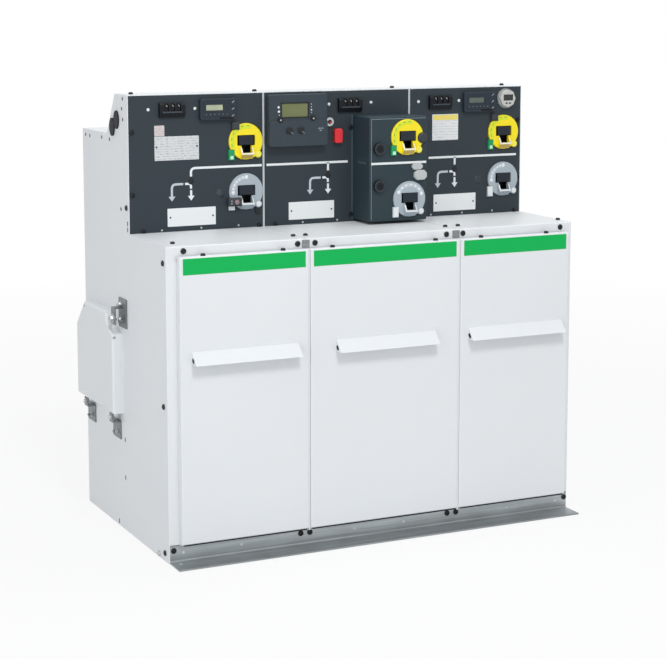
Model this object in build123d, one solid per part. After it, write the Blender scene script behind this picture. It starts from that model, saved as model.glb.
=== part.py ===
"""Three-cubicle ring main unit: folded sheet cabinet, dark control panels, lift-off cable panels."""
import os

from build123d import *

# Cabinet, measured from its left outer face, its front plane and the floor
left_width = 382.0
middle_width = 441.0
right_width = 363.0
depth = 652.0
box_top_height = 1174.0
control_height = 362.0
hood_rise = 109.0
panel_setback = 272.0
hood_depth = 100.0
slope_run = 69.0
sheet = 2.0
inner_bend = 1.5
edge_break = 1.5
overrun = 5.0
seat_gap = 0.3

# Lower cabinet front
band_height = 25.0
left_strip_width = 27.0
right_strip_width = 22.0
frame_lap = 14.0
plate_seam = 1.0
cover_tuck = 27.0

# Base angles that carry the cabinet
angle_height = 47.0
angle_thickness = 4.0
angle_root_radius = 5.0
front_flange_reach = 68.0
rear_flange_width = 50.0
floor_hole_radius = 6.5
floor_hole_inset_x = 24.0
floor_hole_inset_y = 18.0
strip_clearance = 2.0

# Lift-off cable panels
panel_back_gap = 6.5
panel_tray_depth = 18.5
panel_side_gap = 2.5
panel_foot_gap = 5.0
panel_edge_radius = 3.0
hook_width = 40.0
hook_inset = 50.0
hook_drop = 18.0
hook_running_gap = 2.0
handle_length = 292.0
handle_inset = 240.0
handle_drop = 31.0
handle_reach = 31.0
handle_hem = 8.0
cheek_slot_length = 13.0
cheek_slot_radius = 4.0
cheek_slot_share = 1 / 3

# Sealed tank behind the cable compartments
tank_gap = 18.0
tank_foot = 300.0
tank_side_gap = 12.0

# Control panels and the box that stands out from the middle one
divider_width = 5.0
divider_proud = 1.5
mechanism_left_share = 0.6077
mechanism_overhang = 3.0
mechanism_reach = 102.0
mechanism_foot_gap = 7.0
mechanism_headroom = 9.5
mechanism_corner_radius = 4.0

# Lever dials: a disc with a window, a lever guide below it, a lug and, on switch dials, a knob in a notch
dial_radius = 48.5
dial_thickness = 6.0
window_width = 51.0
window_rise = 17.0
window_fall = 11.0
neck_width = 29.0
neck_fall = 31.0
window_clearance = 1.0
guide_wall = 3.0
guide_reach = 12.0
guide_chin = 16.0
lug_radius = 9.5
lug_overhang = 1.0
lug_angle = -45.0
notch_gap = 1.0
knob_width = 21.0
knob_height = 20.0
knob_offset_x = -30.0
knob_offset_z = 42.0
round_knob_radius = 14.0
round_knob_offset_x = 45.0
round_knob_offset_z = -3.0
knob_reach = 12.0
tab_width = 16.0
tab_height = 28.0
tab_reach = 8.0
tab_offset_x = 42.0
tab_offset_z = 35.0
tab_gap = 0.5
key_block_width = 38.0
key_block_height = 22.0
key_block_reach = 14.0
key_block_offset_x = 37.0
key_block_offset_z = 26.0
cup_depth = 38.0
cup_wall = 3.0
shutter_width = 42.0
shutter_gap = 1.5
shutter_proud = 3.0
shaft_radius = 7.0
shaft_length = 12.0

# Places of the dials on their panels
dial_side_gap = 1.0
right_dial_side_gap = 9.5
dial_headroom = 10.5
earthing_height_share = 0.422
middle_dial_headroom = 7.5
middle_dial_footroom = 11.5
middle_switch_share = 0.642
middle_earthing_share = 0.682

# Instruments on the control panels, placed by drops from the top of the control box
indicator_width = 71.0
indicator_height = 39.0
indicator_reach = 11.0
indicator_lip_height = 12.0
indicator_lip_reach = 6.0
indicator_drop = 21.5
indicator_pocket_width = 13.0
indicator_pocket_depth = 4.0
indicator_pitch = 17.0
left_indicator_share = 0.607
middle_indicator_share = 0.2986
right_indicator_share = 0.564
fault_relay_width = 102.0
fault_relay_height = 57.0
fault_relay_reach = 13.0
fault_relay_drop = 14.0
fault_relay_side_gap = 79.5
gauge_relay_gap = 11.0
fault_screen_shares = (-0.11, 0.09, 0.47, 0.27)
relay_width = 171.0
relay_height = 140.0
relay_reach = 24.0
relay_inset = 8.0
relay_drop = 7.0
relay_flap_height = 70.0
relay_flap_proud = 4.0
relay_screen_shares = (-0.063, 0.195, 0.45, 0.26)
screen_recess = 1.5
device_corner = 4.0
gauge_radius = 25.0
gauge_reach = 16.0
gauge_collar_radius = 28.0
gauge_collar_reach = 5.0
gauge_side_gap = 22.0
gauge_margin = 7.0
gauge_window_shares = (0.0, 0.12, 1.0, 0.62)
button_width = 24.0
button_height = 39.0
button_reach = 14.0
button_drop = 104.5
button_share = 0.45
key_switch_radius = 12.0
key_switch_reach = 10.0
key_switch_drop = 85.0
key_switch_gap = 2.0
key_hole_radius = 6.0
key_hole_depth = 4.0
cap_radius = 17.0
cap_reach = 9.0
cap_height_shares = (0.7, 0.345)
cap_side_gap = 11.0

# Key interlock on the mechanism box, stacked between its two dials
key_plate_width = 32.0
key_plate_reach = 7.0
key_bow_width = 38.0
key_bow_reach = 9.0
key_corner = 8.0
key_side_gap = 4.0
key_step = 9.0
key_stack_shares = (0.03, 0.375, 0.42, 0.25)

# Busbar end cover and its brackets on the left side
cover_length = 310.0
cover_height = 270.0
cover_rear_inset = 2.0
cover_foot = 320.0
cover_reach = 29.0
cover_chamfer = 70.0
cover_notch_radius = 52.0
cover_edge_radius = 6.0
bracket_thickness = 3.0
bracket_width = 62.0
upper_bracket_height = 78.0
lower_bracket_height = 50.0
clip_width = 30.0
clip_reach = 24.0
upper_clip_height = 46.0
lower_clip_height = 24.0
upper_arm_share = 0.65
bracket_pin_radius = 4.0
bracket_pin_reach = 14.0
upper_bracket_lead = 44.0
upper_bracket_drop = 34.0
lower_front_bracket_inset = 17.0
lower_rear_bracket_inset = 75.0
lower_bracket_gap = 25.0

# Cable grommets on the left side of the control box, placed from the head of its slope
grommet_width = 36.0
grommet_height = 48.0
grommet_reach = 4.0
front_grommet_lead = 16.0
front_grommet_drop = 68.0
rear_grommet_lag = 19.0
rear_grommet_drop = 89.0

# Straps that join neighbouring ledges
strap_width = 21.0
strap_thickness = 1.5

# Values that follow from the sizes above
width = left_width + middle_width + right_width
first_division = left_width
second_division = left_width + middle_width
ledge_height = box_top_height - control_height
tank_top_height = box_top_height - hood_rise
slope_head = panel_setback + hood_depth
slope_foot = slope_head + slope_run
tank_front = panel_setback + sheet + cup_depth + tank_gap
band_foot = ledge_height - band_height
lap_foot = band_foot - frame_lap
strip_foot = angle_height + strip_clearance
panel_face_y = -panel_back_gap - panel_tray_depth
panel_foot = angle_height + panel_foot_gap
handle_top = band_foot - handle_inset
half_divider = divider_width / 2
relay_left = first_division + relay_inset
relay_right = relay_left + relay_width
fault_relay_foot = box_top_height - fault_relay_drop - fault_relay_height
indicator_foot = box_top_height - indicator_drop - indicator_height
mechanism_left = first_division + mechanism_left_share * middle_width
mechanism_right = second_division + mechanism_overhang
mechanism_width = mechanism_right - mechanism_left
mechanism_face_y = panel_setback - mechanism_reach
mechanism_foot = ledge_height + mechanism_foot_gap
mechanism_top = indicator_foot - mechanism_headroom
gauge_x = width - sheet - gauge_side_gap - gauge_collar_radius
front_reach = max(front_flange_reach, handle_reach - panel_face_y)
centre_x = (width - cover_reach) / 2
centre_y = (depth - front_reach) / 2


def block(x_range, y_range, z_range):
    """Return a box between two corners, given as three (low, high) pairs."""
    size = [high - low for low, high in (x_range, y_range, z_range)]
    corner = Pos(x_range[0], y_range[0], z_range[0])
    return corner * Box(*size, align=(Align.MIN, Align.MIN, Align.MIN))


def side_prism(outline, x_low, x_high):
    """Carry an outline of (depth, height) points across the cabinet from x_low to x_high."""
    face = make_face(Polyline(*outline, close=True))
    return extrude(Plane.YZ.offset(x_low) * face, amount=x_high - x_low)


def folded_sheet(line, x_low, x_high):
    """Fold a sheet along an outer line of (depth, height) points, thickness to the line's right."""
    bends = FilletPolyline(*line, radius=sheet + inner_bend)
    face = make_face(offset(bends, sheet, side=Side.RIGHT, closed=True))
    return extrude(Plane.YZ.offset(x_low) * face, amount=x_high - x_low)


def front_prism(face, centre, y_back, reach):
    """Carry a face of (across, up) points from a back plane out towards the front."""
    plane = Plane((centre[0], y_back, centre[1]), x_dir=(1, 0, 0), z_dir=(0, -1, 0))
    return extrude(plane * face, amount=reach)


def side_peg(face, y_mid, z_mid, reach):
    """Carry a face of (depth, height) points out to the left from the left side as a peg."""
    plane = Plane((0, y_mid, z_mid), x_dir=(0, 1, 0), z_dir=(-1, 0, 0))
    return extrude(plane * face, amount=reach)


def front_edges(solid):
    """Return the edges round a solid's foremost face."""
    return solid.faces().sort_by(Axis.Y)[0].edges()


def outer_edges(solid):
    """Return the edges round a solid's leftmost face."""
    return solid.faces().sort_by(Axis.X)[0].edges()


def ease_front(solid, amount=edge_break):
    """Chamfer the edges round a solid's foremost face."""
    return chamfer(front_edges(solid), amount)


def cut_corners(solid, amount):
    """Chamfer the edges that run from a solid's back to its front."""
    return chamfer(solid.edges().filter_by(Axis.Y), amount)


def save(node, *solids):
    """Write a node in the cabinet's own frame, centred on its footprint."""
    shift = Pos(-centre_x, -centre_y, 0)
    export_step(Compound(children=[shift * solid for solid in solids]), f"parts/{node}.step")


def side_panel(x_low, strip_low, strip_high, corner_x):
    """Return a stepped side sheet with the narrow strip folded across the front."""
    outline = [
        (0, 0),
        (depth, 0),
        (depth, tank_top_height),
        (slope_foot, tank_top_height),
        (slope_head, box_top_height),
        (panel_setback, box_top_height),
        (panel_setback, ledge_height),
        (0, ledge_height),
    ]
    strip = block((strip_low, strip_high), (0, sheet), (strip_foot, lap_foot))
    panel = side_prism(outline, x_low, x_low + sheet) + strip
    front_fold = panel.edges().filter_by(Axis.Z).sort_by_distance((corner_x, 0, ledge_height / 2))[0]
    return fillet(front_fold, inner_bend)


def ledge_plate(x_low, x_high):
    """Return a folded ledge: a flat top with a band down the front, lapped behind the cable panel."""
    return folded_sheet([(0, lap_foot), (0, ledge_height), (panel_setback, ledge_height)], x_low, x_high)


def control_box_hood(x_low, x_high):
    """Return the folded hood: a flat top that bends down over the rear slope."""
    line = [(panel_setback, box_top_height), (slope_head, box_top_height), (slope_foot, tank_top_height)]
    hood = folded_sheet(line, x_low, x_high)
    above_cover = block(
        (x_low, x_high), (panel_setback, slope_foot), (tank_top_height, box_top_height)
    )
    return hood & above_cover


def partition(x_mid):
    """Return a wall between two cable compartments, with its front flange."""
    half_flange = panel_side_gap + frame_lap
    flange = block((x_mid - half_flange, x_mid + half_flange), (0, sheet), (strip_foot, lap_foot))
    wall_top = ledge_height - sheet
    outline = [
        (sheet, strip_foot),
        (tank_front, strip_foot),
        (tank_front, wall_top),
        (sheet + inner_bend, wall_top),
        (sheet, wall_top - inner_bend),
    ]
    wall = side_prism(outline, x_mid - sheet / 2, x_mid + sheet / 2)
    return flange + wall


def base_angle(leg_range, flange_range, root_y):
    """Return a rolled angle between the side panels: an upright leg, a floor flange and a round root."""
    across = (sheet, width - sheet)
    leg = block(across, leg_range, (0, angle_height))
    angle = leg + block(across, flange_range, (0, angle_thickness))
    root = angle.edges().filter_by(Axis.X).sort_by_distance((width / 2, root_y, angle_thickness))[0]
    return fillet(root, angle_root_radius)


def cable_panel(x_low, x_high):
    """Return a lift-off tray panel with two hooks that drop behind the base angle."""
    tray = block((x_low, x_high), (panel_face_y, -panel_back_gap), (panel_foot, band_foot))
    tray = fillet(front_edges(tray), panel_edge_radius)
    hollow = block(
        (x_low + sheet, x_high - sheet),
        (panel_face_y + sheet, -panel_back_gap + overrun),
        (panel_foot + sheet, band_foot - sheet),
    )
    tray -= hollow
    seat = angle_height + seat_gap
    tongue_front = angle_thickness + hook_running_gap
    hook_outline = [
        (-panel_back_gap - sheet, panel_foot + sheet),
        (-panel_back_gap - sheet, seat),
        (tongue_front, seat),
        (tongue_front, angle_height - hook_drop),
        (tongue_front + sheet, angle_height - hook_drop),
        (tongue_front + sheet, seat + sheet),
        (-panel_back_gap, seat + sheet),
        (-panel_back_gap, panel_foot + sheet),
    ]
    for hook_x in (x_low + hook_inset, x_high - hook_inset - hook_width):
        tray += side_prism(hook_outline, hook_x, hook_x + hook_width)
    return tray


def panel_handle(x_mid):
    """Return an inclined grip plate with a hem on the panel and slotted end cheeks."""
    x_low = x_mid - handle_length / 2
    x_high = x_mid + handle_length / 2
    y_out = panel_face_y - handle_reach
    z_low = handle_top - handle_drop
    plate_outline = [
        (panel_face_y, handle_top + handle_hem),
        (panel_face_y, handle_top - sheet),
        (y_out + sheet, z_low),
        (y_out, z_low),
        (panel_face_y - sheet, handle_top),
        (panel_face_y - sheet, handle_top + handle_hem),
    ]
    cheek_outline = [
        (panel_face_y, handle_top),
        (panel_face_y, z_low),
        (y_out, z_low),
        (panel_face_y - sheet, handle_top),
    ]
    handle = side_prism(plate_outline, x_low, x_high)
    slot_y = panel_face_y - cheek_slot_share * handle_reach
    slot_z = z_low + cheek_slot_share * handle_drop
    slot_plane = Plane((x_low, slot_y, slot_z), x_dir=(0, 1, 1), z_dir=(1, 0, 0))
    slot_face = SlotOverall(cheek_slot_length, 2 * cheek_slot_radius)
    slot = extrude(slot_plane * slot_face, amount=handle_length)
    for cheek_x in (x_low, x_high - sheet):
        cheek = side_prism(cheek_outline, cheek_x, cheek_x + sheet)
        handle += cheek - slot
    return handle


def window_face(clearance):
    """Return the lever window's outline about the dial centre: a wide mouth over a narrower neck."""
    half_mouth = window_width / 2 + clearance
    half_neck = neck_width / 2 + clearance
    outline = [
        (-half_mouth, window_rise + clearance),
        (-half_mouth, -window_fall - clearance),
        (-half_neck, -window_fall - clearance),
        (-half_neck, -neck_fall - clearance),
        (half_neck, -neck_fall - clearance),
        (half_neck, -window_fall - clearance),
        (half_mouth, -window_fall - clearance),
        (half_mouth, window_rise + clearance),
    ]
    return make_face(Polyline(*outline, close=True))


def lever_guide(centre, y_face):
    """Return the guide round a dial's neck: two rising cheeks and a lip that slopes back as a chin."""
    half_neck = neck_width / 2
    y_lip = y_face - guide_reach
    profile = [
        (y_face, centre[1] - window_fall),
        (y_lip, centre[1] - neck_fall),
        (y_lip, centre[1] - neck_fall - guide_wall),
        (y_face, centre[1] - neck_fall - guide_chin),
    ]
    solid = side_prism(profile, centre[0] - half_neck - guide_wall, centre[0] + half_neck + guide_wall)
    neck = block(
        (centre[0] - half_neck, centre[0] + half_neck),
        (y_lip - overrun, y_face),
        (centre[1] - neck_fall, centre[1] - window_fall),
    )
    return solid - neck


def knob_face(is_round, clearance):
    """Return a knob's outline about the dial centre: round at the right, or square at the upper left."""
    if is_round:
        return Pos(round_knob_offset_x, round_knob_offset_z) * Circle(round_knob_radius + clearance)
    outline = Rectangle(knob_width + 2 * clearance, knob_height + 2 * clearance)
    return Pos(knob_offset_x, knob_offset_z) * outline


def dial(centre, y_back, notches):
    """Return a dial plate: a disc with the lever window and guide, a lug, and cuts for tab and knob."""
    y_face = y_back - dial_thickness
    lug_place = Rot(0, 0, lug_angle) * Pos(dial_radius + lug_overhang, 0)
    disc = ease_front(front_prism(Circle(dial_radius), centre, y_back, dial_thickness))
    lug = front_prism(lug_place * Circle(lug_radius), centre, y_back, dial_thickness)
    tab_cut = Pos(-tab_offset_x, -tab_offset_z) * Rectangle(
        tab_width + 2 * tab_gap, tab_height + 2 * tab_gap
    )
    plate = disc + lug
    for cut in (window_face(0), tab_cut, *notches):
        plate -= front_prism(cut, centre, y_back + overrun, dial_thickness + 2 * overrun)
    return plate + lever_guide(centre, y_face)


def interlock_knob(centre, y_back, is_round):
    """Return the knob that stands in a dial's notch and blocks the lever."""
    knob = front_prism(knob_face(is_round, 0), centre, y_back, knob_reach)
    return ease_front(knob, device_corner)


def padlock_tab(centre, y_back):
    """Return the sliding tab that stands in the cut at a dial's lower left."""
    tab_centre = (centre[0] - tab_offset_x, centre[1] - tab_offset_z)
    tab = front_prism(Rectangle(tab_width, tab_height), tab_centre, y_back, tab_reach)
    return ease_front(tab)


def key_block(centre, y_back):
    """Return the captive key block seated on the left earthing dial's tab."""
    seat_y = y_back - tab_reach
    block_centre = (centre[0] - key_block_offset_x, centre[1] - key_block_offset_z)
    face = Rectangle(key_block_width, key_block_height)
    return ease_front(front_prism(face, block_centre, seat_y, key_block_reach), device_corner)


def lever_cup(centre, y_front):
    """Return the cup behind a lever window: a shutter fills its mouth and a shaft ends in its neck."""
    half_mouth = window_width / 2 + window_clearance
    inner = [
        (centre[0] - half_mouth, centre[0] + half_mouth),
        (y_front, y_front + cup_depth - cup_wall),
        (centre[1] - neck_fall - window_clearance, centre[1] + window_rise + window_clearance),
    ]
    outer = [
        (inner[0][0] - cup_wall, inner[0][1] + cup_wall),
        (y_front, y_front + cup_depth),
        (inner[2][0] - cup_wall, inner[2][1] + cup_wall),
    ]
    y_floor = y_front + cup_depth - cup_wall
    shutter_front = y_front - sheet - dial_thickness - shutter_proud
    shutter = block(
        (centre[0] - shutter_width / 2, centre[0] + shutter_width / 2),
        (shutter_front, y_floor),
        (centre[1] - window_fall + shutter_gap, centre[1] + window_rise - shutter_gap),
    )
    shaft_centre = (centre[0], centre[1] - (window_fall + neck_fall) / 2)
    shaft = front_prism(RegularPolygon(shaft_radius, 6), shaft_centre, y_floor, shaft_length)
    return block(*outer) - block(*inner) + ease_front(shutter) + shaft


def control_panel(x_low, x_high, dial_centres):
    """Return a dark panel sheet with a lever window at each dial."""
    panel = block(
        (x_low, x_high),
        (panel_setback, panel_setback + sheet),
        (ledge_height, box_top_height - sheet),
    )
    for centre in dial_centres:
        panel -= front_prism(window_face(window_clearance), centre, panel_setback + overrun, 2 * overrun)
    return panel


def mechanism_box(dial_centres):
    """Return the open-backed box that carries the middle cubicle's two dials."""
    x_range = (mechanism_left, mechanism_right)
    z_range = (mechanism_foot, mechanism_top)
    box = block(x_range, (mechanism_face_y, panel_setback), z_range)
    box = fillet(box.edges().filter_by(Axis.Y) + front_edges(box), mechanism_corner_radius)
    box -= block(
        (x_range[0] + sheet, x_range[1] - sheet),
        (mechanism_face_y + sheet, panel_setback + overrun),
        (z_range[0] + sheet, z_range[1] - sheet),
    )
    for centre in dial_centres:
        box -= front_prism(window_face(window_clearance), centre, mechanism_face_y + overrun, 2 * overrun)
    return box


def instrument_case(width_across, height_up, reach, centre):
    """Return an instrument case with cut corners and eased front edges, standing on the panel face."""
    case = front_prism(Rectangle(width_across, height_up), centre, panel_setback, reach)
    return ease_front(cut_corners(case, device_corner))


def screen_cut(shares, width_across, height_up, reach, centre):
    """Return the shallow cut for a screen, its place and size given as shares of its case."""
    across, up, wide, high = shares
    face = Pos(across * width_across, up * height_up) * Rectangle(wide * width_across, high * height_up)
    return front_prism(face, centre, panel_setback - reach + screen_recess, overrun)


def voltage_indicator(x_mid):
    """Return a voltage presence indicator: three lamp pockets between ribs over a sloping socket lip."""
    head = indicator_foot + indicator_height
    y_face = panel_setback - indicator_reach
    outline = [
        (panel_setback, indicator_foot),
        (panel_setback - indicator_lip_reach, indicator_foot),
        (y_face, indicator_foot + indicator_lip_height),
        (y_face, head - indicator_lip_reach),
        (panel_setback - indicator_lip_reach, head),
        (panel_setback, head),
    ]
    case = side_prism(outline, x_mid - indicator_width / 2, x_mid + indicator_width / 2)
    for step in (-1, 0, 1):
        pocket_x = x_mid + step * indicator_pitch
        case -= block(
            (pocket_x - indicator_pocket_width / 2, pocket_x + indicator_pocket_width / 2),
            (y_face - overrun, y_face + indicator_pocket_depth),
            (indicator_foot + indicator_lip_height, head + overrun),
        )
    return case


def fault_relay(x_mid):
    """Return a fault passage relay: a rounded case with a recessed screen."""
    centre = (x_mid, fault_relay_foot + fault_relay_height / 2)
    size = (fault_relay_width, fault_relay_height, fault_relay_reach)
    return instrument_case(*size, centre) - screen_cut(fault_screen_shares, *size, centre)


def protection_relay():
    """Return the large relay: a case with a recessed screen above a hinged setting flap."""
    head = box_top_height - relay_drop
    centre = (relay_left + relay_width / 2, head - relay_height / 2)
    size = (relay_width, relay_height, relay_reach)
    case = instrument_case(*size, centre) - screen_cut(relay_screen_shares, *size, centre)
    flap_centre = (centre[0], head - relay_height + relay_flap_height / 2)
    flap_back = panel_setback - relay_reach + edge_break
    flap_face = Rectangle(relay_width, relay_flap_height)
    flap = front_prism(flap_face, flap_centre, flap_back, relay_flap_proud + edge_break)
    return case + ease_front(cut_corners(flap, device_corner))


def pressure_gauge():
    """Return the gas gauge: a round collar under an eight-sided bezel with a recessed window."""
    centre = (gauge_x, box_top_height - gauge_margin - gauge_collar_radius)
    collar = front_prism(Circle(gauge_collar_radius), centre, panel_setback, gauge_collar_reach)
    bezel = ease_front(front_prism(RegularPolygon(gauge_radius, 8), centre, panel_setback, gauge_reach))
    window = screen_cut(gauge_window_shares, gauge_radius, gauge_radius, gauge_reach, centre)
    return collar + bezel - window


def key_plate(share, foot, across, width_across, reach, room):
    """Return one piece of the key interlock, as high as its share of the room between the dials."""
    height = share * room
    corner = min(key_corner, height / 3)
    centre = (across, foot + height / 2)
    solid = front_prism(Rectangle(width_across, height), centre, mechanism_face_y, reach)
    return ease_front(cut_corners(solid, corner), min(edge_break, corner / 2))


def key_interlock(switch_centre, earthing_centre):
    """Return the key bow and the lock plate above it, stacked between the mechanism box's two dials."""
    foot = earthing_centre[1] + dial_radius
    room = switch_centre[1] - dial_radius - foot
    bow_x = mechanism_right - key_side_gap - key_bow_width / 2
    bow_foot_share, bow_share, plate_foot_share, plate_share = key_stack_shares
    bow_foot = foot + bow_foot_share * room
    plate_foot = foot + plate_foot_share * room
    return [
        key_plate(bow_share, bow_foot, bow_x, key_bow_width, key_bow_reach, room),
        key_plate(plate_share, plate_foot, bow_x - key_step, key_plate_width, key_plate_reach, room),
    ]


def bus_cover(front, top):
    """Return the shallow cover over the busbar ends, open towards the side panel."""
    rear = front + cover_length
    outline = [
        (front, cover_foot),
        (rear, cover_foot),
        (rear, top - cover_chamfer),
        (rear - cover_chamfer, top),
        (front, top),
    ]
    notch = Pos(front, top) * Circle(cover_notch_radius)
    face = make_face(Polyline(*outline, close=True)) - notch
    outer = extrude(Plane.YZ.offset(-cover_reach) * face, amount=cover_reach)
    outer = fillet(outer_edges(outer), cover_edge_radius)
    inner_face = offset(face, -cover_edge_radius, kind=Kind.INTERSECTION)
    return outer - extrude(Plane.YZ.offset(-cover_reach + sheet) * inner_face, amount=cover_reach)


def bracket(y_low, z_low, height, arm_z, clip_y, clip_ends):
    """Return a side plate with an arm that carries a clip between two heights, and a bolt pin."""
    plate = block((-bracket_thickness, 0), (y_low, y_low + bracket_width), (z_low, z_low + height))
    clip_range = (clip_y, clip_y + clip_width)
    arm = block((-clip_reach, 0), clip_range, (arm_z, arm_z + bracket_thickness))
    clip = block((-clip_reach, -clip_reach + bracket_thickness), clip_range, clip_ends)
    pin_y = y_low + bracket_width / 2
    pin_z = z_low + lower_bracket_height / 3
    pin = side_peg(RegularPolygon(bracket_pin_radius, 6), pin_y, pin_z, bracket_pin_reach)
    return plate + arm + clip + pin


def upper_bracket(y_low, z_low):
    """Return the tall bracket, whose clip hangs at its rear edge in the cover's notch."""
    arm_z = z_low + upper_arm_share * upper_bracket_height
    clip_y = y_low + bracket_width - clip_width
    clip_ends = (arm_z + bracket_thickness - upper_clip_height, arm_z + bracket_thickness)
    return bracket(y_low, z_low, upper_bracket_height, arm_z, clip_y, clip_ends)


def lower_bracket(y_low, z_low):
    """Return a short bracket, whose clip stands up at its front edge under the cover."""
    arm_z = z_low + lower_bracket_height - bracket_thickness
    return bracket(y_low, z_low, lower_bracket_height, arm_z, y_low, (arm_z, arm_z + lower_clip_height))


def grommet(y_mid, z_mid):
    """Return a blind oval rubber grommet."""
    return side_peg(Ellipse(grommet_width / 2, grommet_height / 2), y_mid, z_mid, grommet_reach)


def dial_places():
    """Return each cubicle's (switch, earthing) dial centres, as (across, up) pairs."""
    switch_height = fault_relay_foot - dial_headroom - dial_radius
    earthing_height = ledge_height + earthing_height_share * (switch_height - ledge_height)
    left_x = first_division - half_divider - dial_side_gap - dial_radius
    right_x = width - sheet - right_dial_side_gap - dial_radius
    middle_switch_height = mechanism_top - middle_dial_headroom - dial_radius
    middle_earthing_height = mechanism_foot + middle_dial_footroom + dial_radius
    return {
        "left": [(left_x, switch_height), (left_x, earthing_height)],
        "middle": [
            (mechanism_left + middle_switch_share * mechanism_width, middle_switch_height),
            (mechanism_left + middle_earthing_share * mechanism_width, middle_earthing_height),
        ],
        "right": [(right_x, switch_height), (right_x, earthing_height)],
    }


def build_cabinet():
    """Build the sheet metal, the tank, the base angles and the lift-off cable panels."""
    inner = (sheet, width - sheet)
    save("left_side_panel", side_panel(0, 0, left_strip_width + frame_lap, 0))
    right_strip_low = width - right_strip_width - frame_lap
    save("right_side_panel", side_panel(width - sheet, right_strip_low, width, width))
    save("rear_panel", block(inner, (depth - sheet, depth), (0, tank_top_height)))
    top_cover = block(
        inner, (slope_foot - cover_tuck, depth - sheet), (tank_top_height - sheet, tank_top_height)
    )
    save("rear_top_cover", top_cover)
    save("control_box_hood", control_box_hood(*inner))
    tank = block(
        (tank_side_gap, width - tank_side_gap),
        (tank_front, depth - sheet),
        (tank_foot, tank_top_height - sheet),
    )
    save("tank", tank)

    seam = plate_seam / 2
    spans = {
        "left": (sheet, first_division - seam),
        "middle": (first_division + seam, second_division - seam),
        "right": (second_division + seam, width - sheet),
    }
    panel_edges = {
        "left": (left_strip_width, first_division - panel_side_gap),
        "middle": (first_division + panel_side_gap, second_division - panel_side_gap),
        "right": (second_division + panel_side_gap, width - right_strip_width),
    }
    for side, (low, high) in spans.items():
        save(f"ledge_plate_{side}", ledge_plate(low, high))
        panel_low, panel_high = panel_edges[side]
        save(f"access_panel_{side}", cable_panel(panel_low, panel_high))
        save(f"panel_handle_{side}", panel_handle((panel_low + panel_high) / 2))
    save("cubicle_partitions", partition(first_division), partition(second_division))

    front_angle = base_angle((0, angle_thickness), (-front_flange_reach, angle_thickness), 0)
    for hole_x in (floor_hole_inset_x, width - floor_hole_inset_x):
        hole = Pos(hole_x, -floor_hole_inset_y, 0) * Cylinder(floor_hole_radius, 4 * angle_thickness)
        front_angle -= hole
    save("front_base_angle", front_angle)
    rear_face = depth - sheet
    leg_face = rear_face - angle_thickness
    rear_angle = base_angle((leg_face, rear_face), (rear_face - rear_flange_width, rear_face), leg_face)
    save("rear_base_angle", rear_angle)
    straps = [
        block(
            (division - strap_width / 2, division + strap_width / 2),
            (-strap_thickness, 0),
            (band_foot + sheet, ledge_height - sheet - inner_bend),
        )
        for division in (first_division, second_division)
    ]
    save("joint_straps", *straps)


def build_controls():
    """Build the control panels, the mechanism box, the dials and the instruments."""
    places = dial_places()
    panel_edges = {
        "left": (sheet, first_division - half_divider),
        "middle": (first_division + half_divider, second_division - half_divider),
        "right": (second_division + half_divider, width - sheet),
    }
    for side, (low, high) in panel_edges.items():
        save(f"control_panel_{side}", control_panel(low, high, [] if side == "middle" else places[side]))
    dividers = [
        block(
            (division - half_divider, division + half_divider),
            (panel_setback - divider_proud, panel_setback + sheet),
            (foot, box_top_height - sheet),
        )
        for division, foot in ((first_division, ledge_height), (second_division, mechanism_top))
    ]
    save("panel_dividers", *dividers)
    save("mechanism_box", mechanism_box(places["middle"]))

    faces = {"left": panel_setback, "middle": mechanism_face_y, "right": panel_setback}
    knobs = []
    for side, (switch, earthing) in places.items():
        is_round = side == "middle"
        save(f"switch_dial_{side}", dial(switch, faces[side], [knob_face(is_round, notch_gap)]))
        save(f"earthing_dial_{side}", dial(earthing, faces[side], []))
        knobs.append(interlock_knob(switch, faces[side], is_round))
        cups = [lever_cup(centre, faces[side] + sheet) for centre in (switch, earthing)]
        save(f"lever_sockets_{side}", *cups)
    save("interlock_knobs", *knobs, key_block(places["left"][1], panel_setback))
    save("switch_tabs", *[padlock_tab(places[side][0], faces[side]) for side in places])
    save("earthing_tabs", *[padlock_tab(places[side][1], faces[side]) for side in places])
    save("key_interlock", *key_interlock(*places["middle"]))

    left_relay_x = panel_edges["left"][1] - fault_relay_side_gap - fault_relay_width / 2
    right_relay_x = gauge_x - gauge_collar_radius - gauge_relay_gap - fault_relay_width / 2
    save("fault_relay_left", fault_relay(left_relay_x))
    save("fault_relay_right", fault_relay(right_relay_x))
    indicator_spans = {
        "left": (panel_edges["left"][0], left_relay_x - fault_relay_width / 2, left_indicator_share),
        "middle": (relay_right, panel_edges["middle"][1], middle_indicator_share),
        "right": (panel_edges["right"][0], right_relay_x - fault_relay_width / 2, right_indicator_share),
    }
    for side, (low, high, share) in indicator_spans.items():
        save(f"voltage_indicator_{side}", voltage_indicator(low + share * (high - low)))
    save("protection_relay", protection_relay())
    save("pressure_gauge", pressure_gauge())
    button_x = relay_right + button_share * (mechanism_left - relay_right)
    button_centre = (button_x, box_top_height - button_drop - button_height / 2)
    save("trip_button", instrument_case(button_width, button_height, button_reach, button_centre))
    key_centre = (relay_right + key_switch_gap + key_switch_radius, box_top_height - key_switch_drop)
    key_switch = front_prism(Circle(key_switch_radius), key_centre, panel_setback, key_switch_reach)
    key_switch -= front_prism(
        Circle(key_hole_radius), key_centre, panel_setback - key_switch_reach + key_hole_depth, overrun
    )
    save("key_switch", key_switch)
    caps = []
    for share in cap_height_shares:
        height = mechanism_foot + share * (mechanism_top - mechanism_foot)
        cap_x = mechanism_left + cap_side_gap + cap_radius
        cap = front_prism(Circle(cap_radius), (cap_x, height), mechanism_face_y, cap_reach)
        caps.append(cap)
    save("interlock_caps", *caps)


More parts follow.
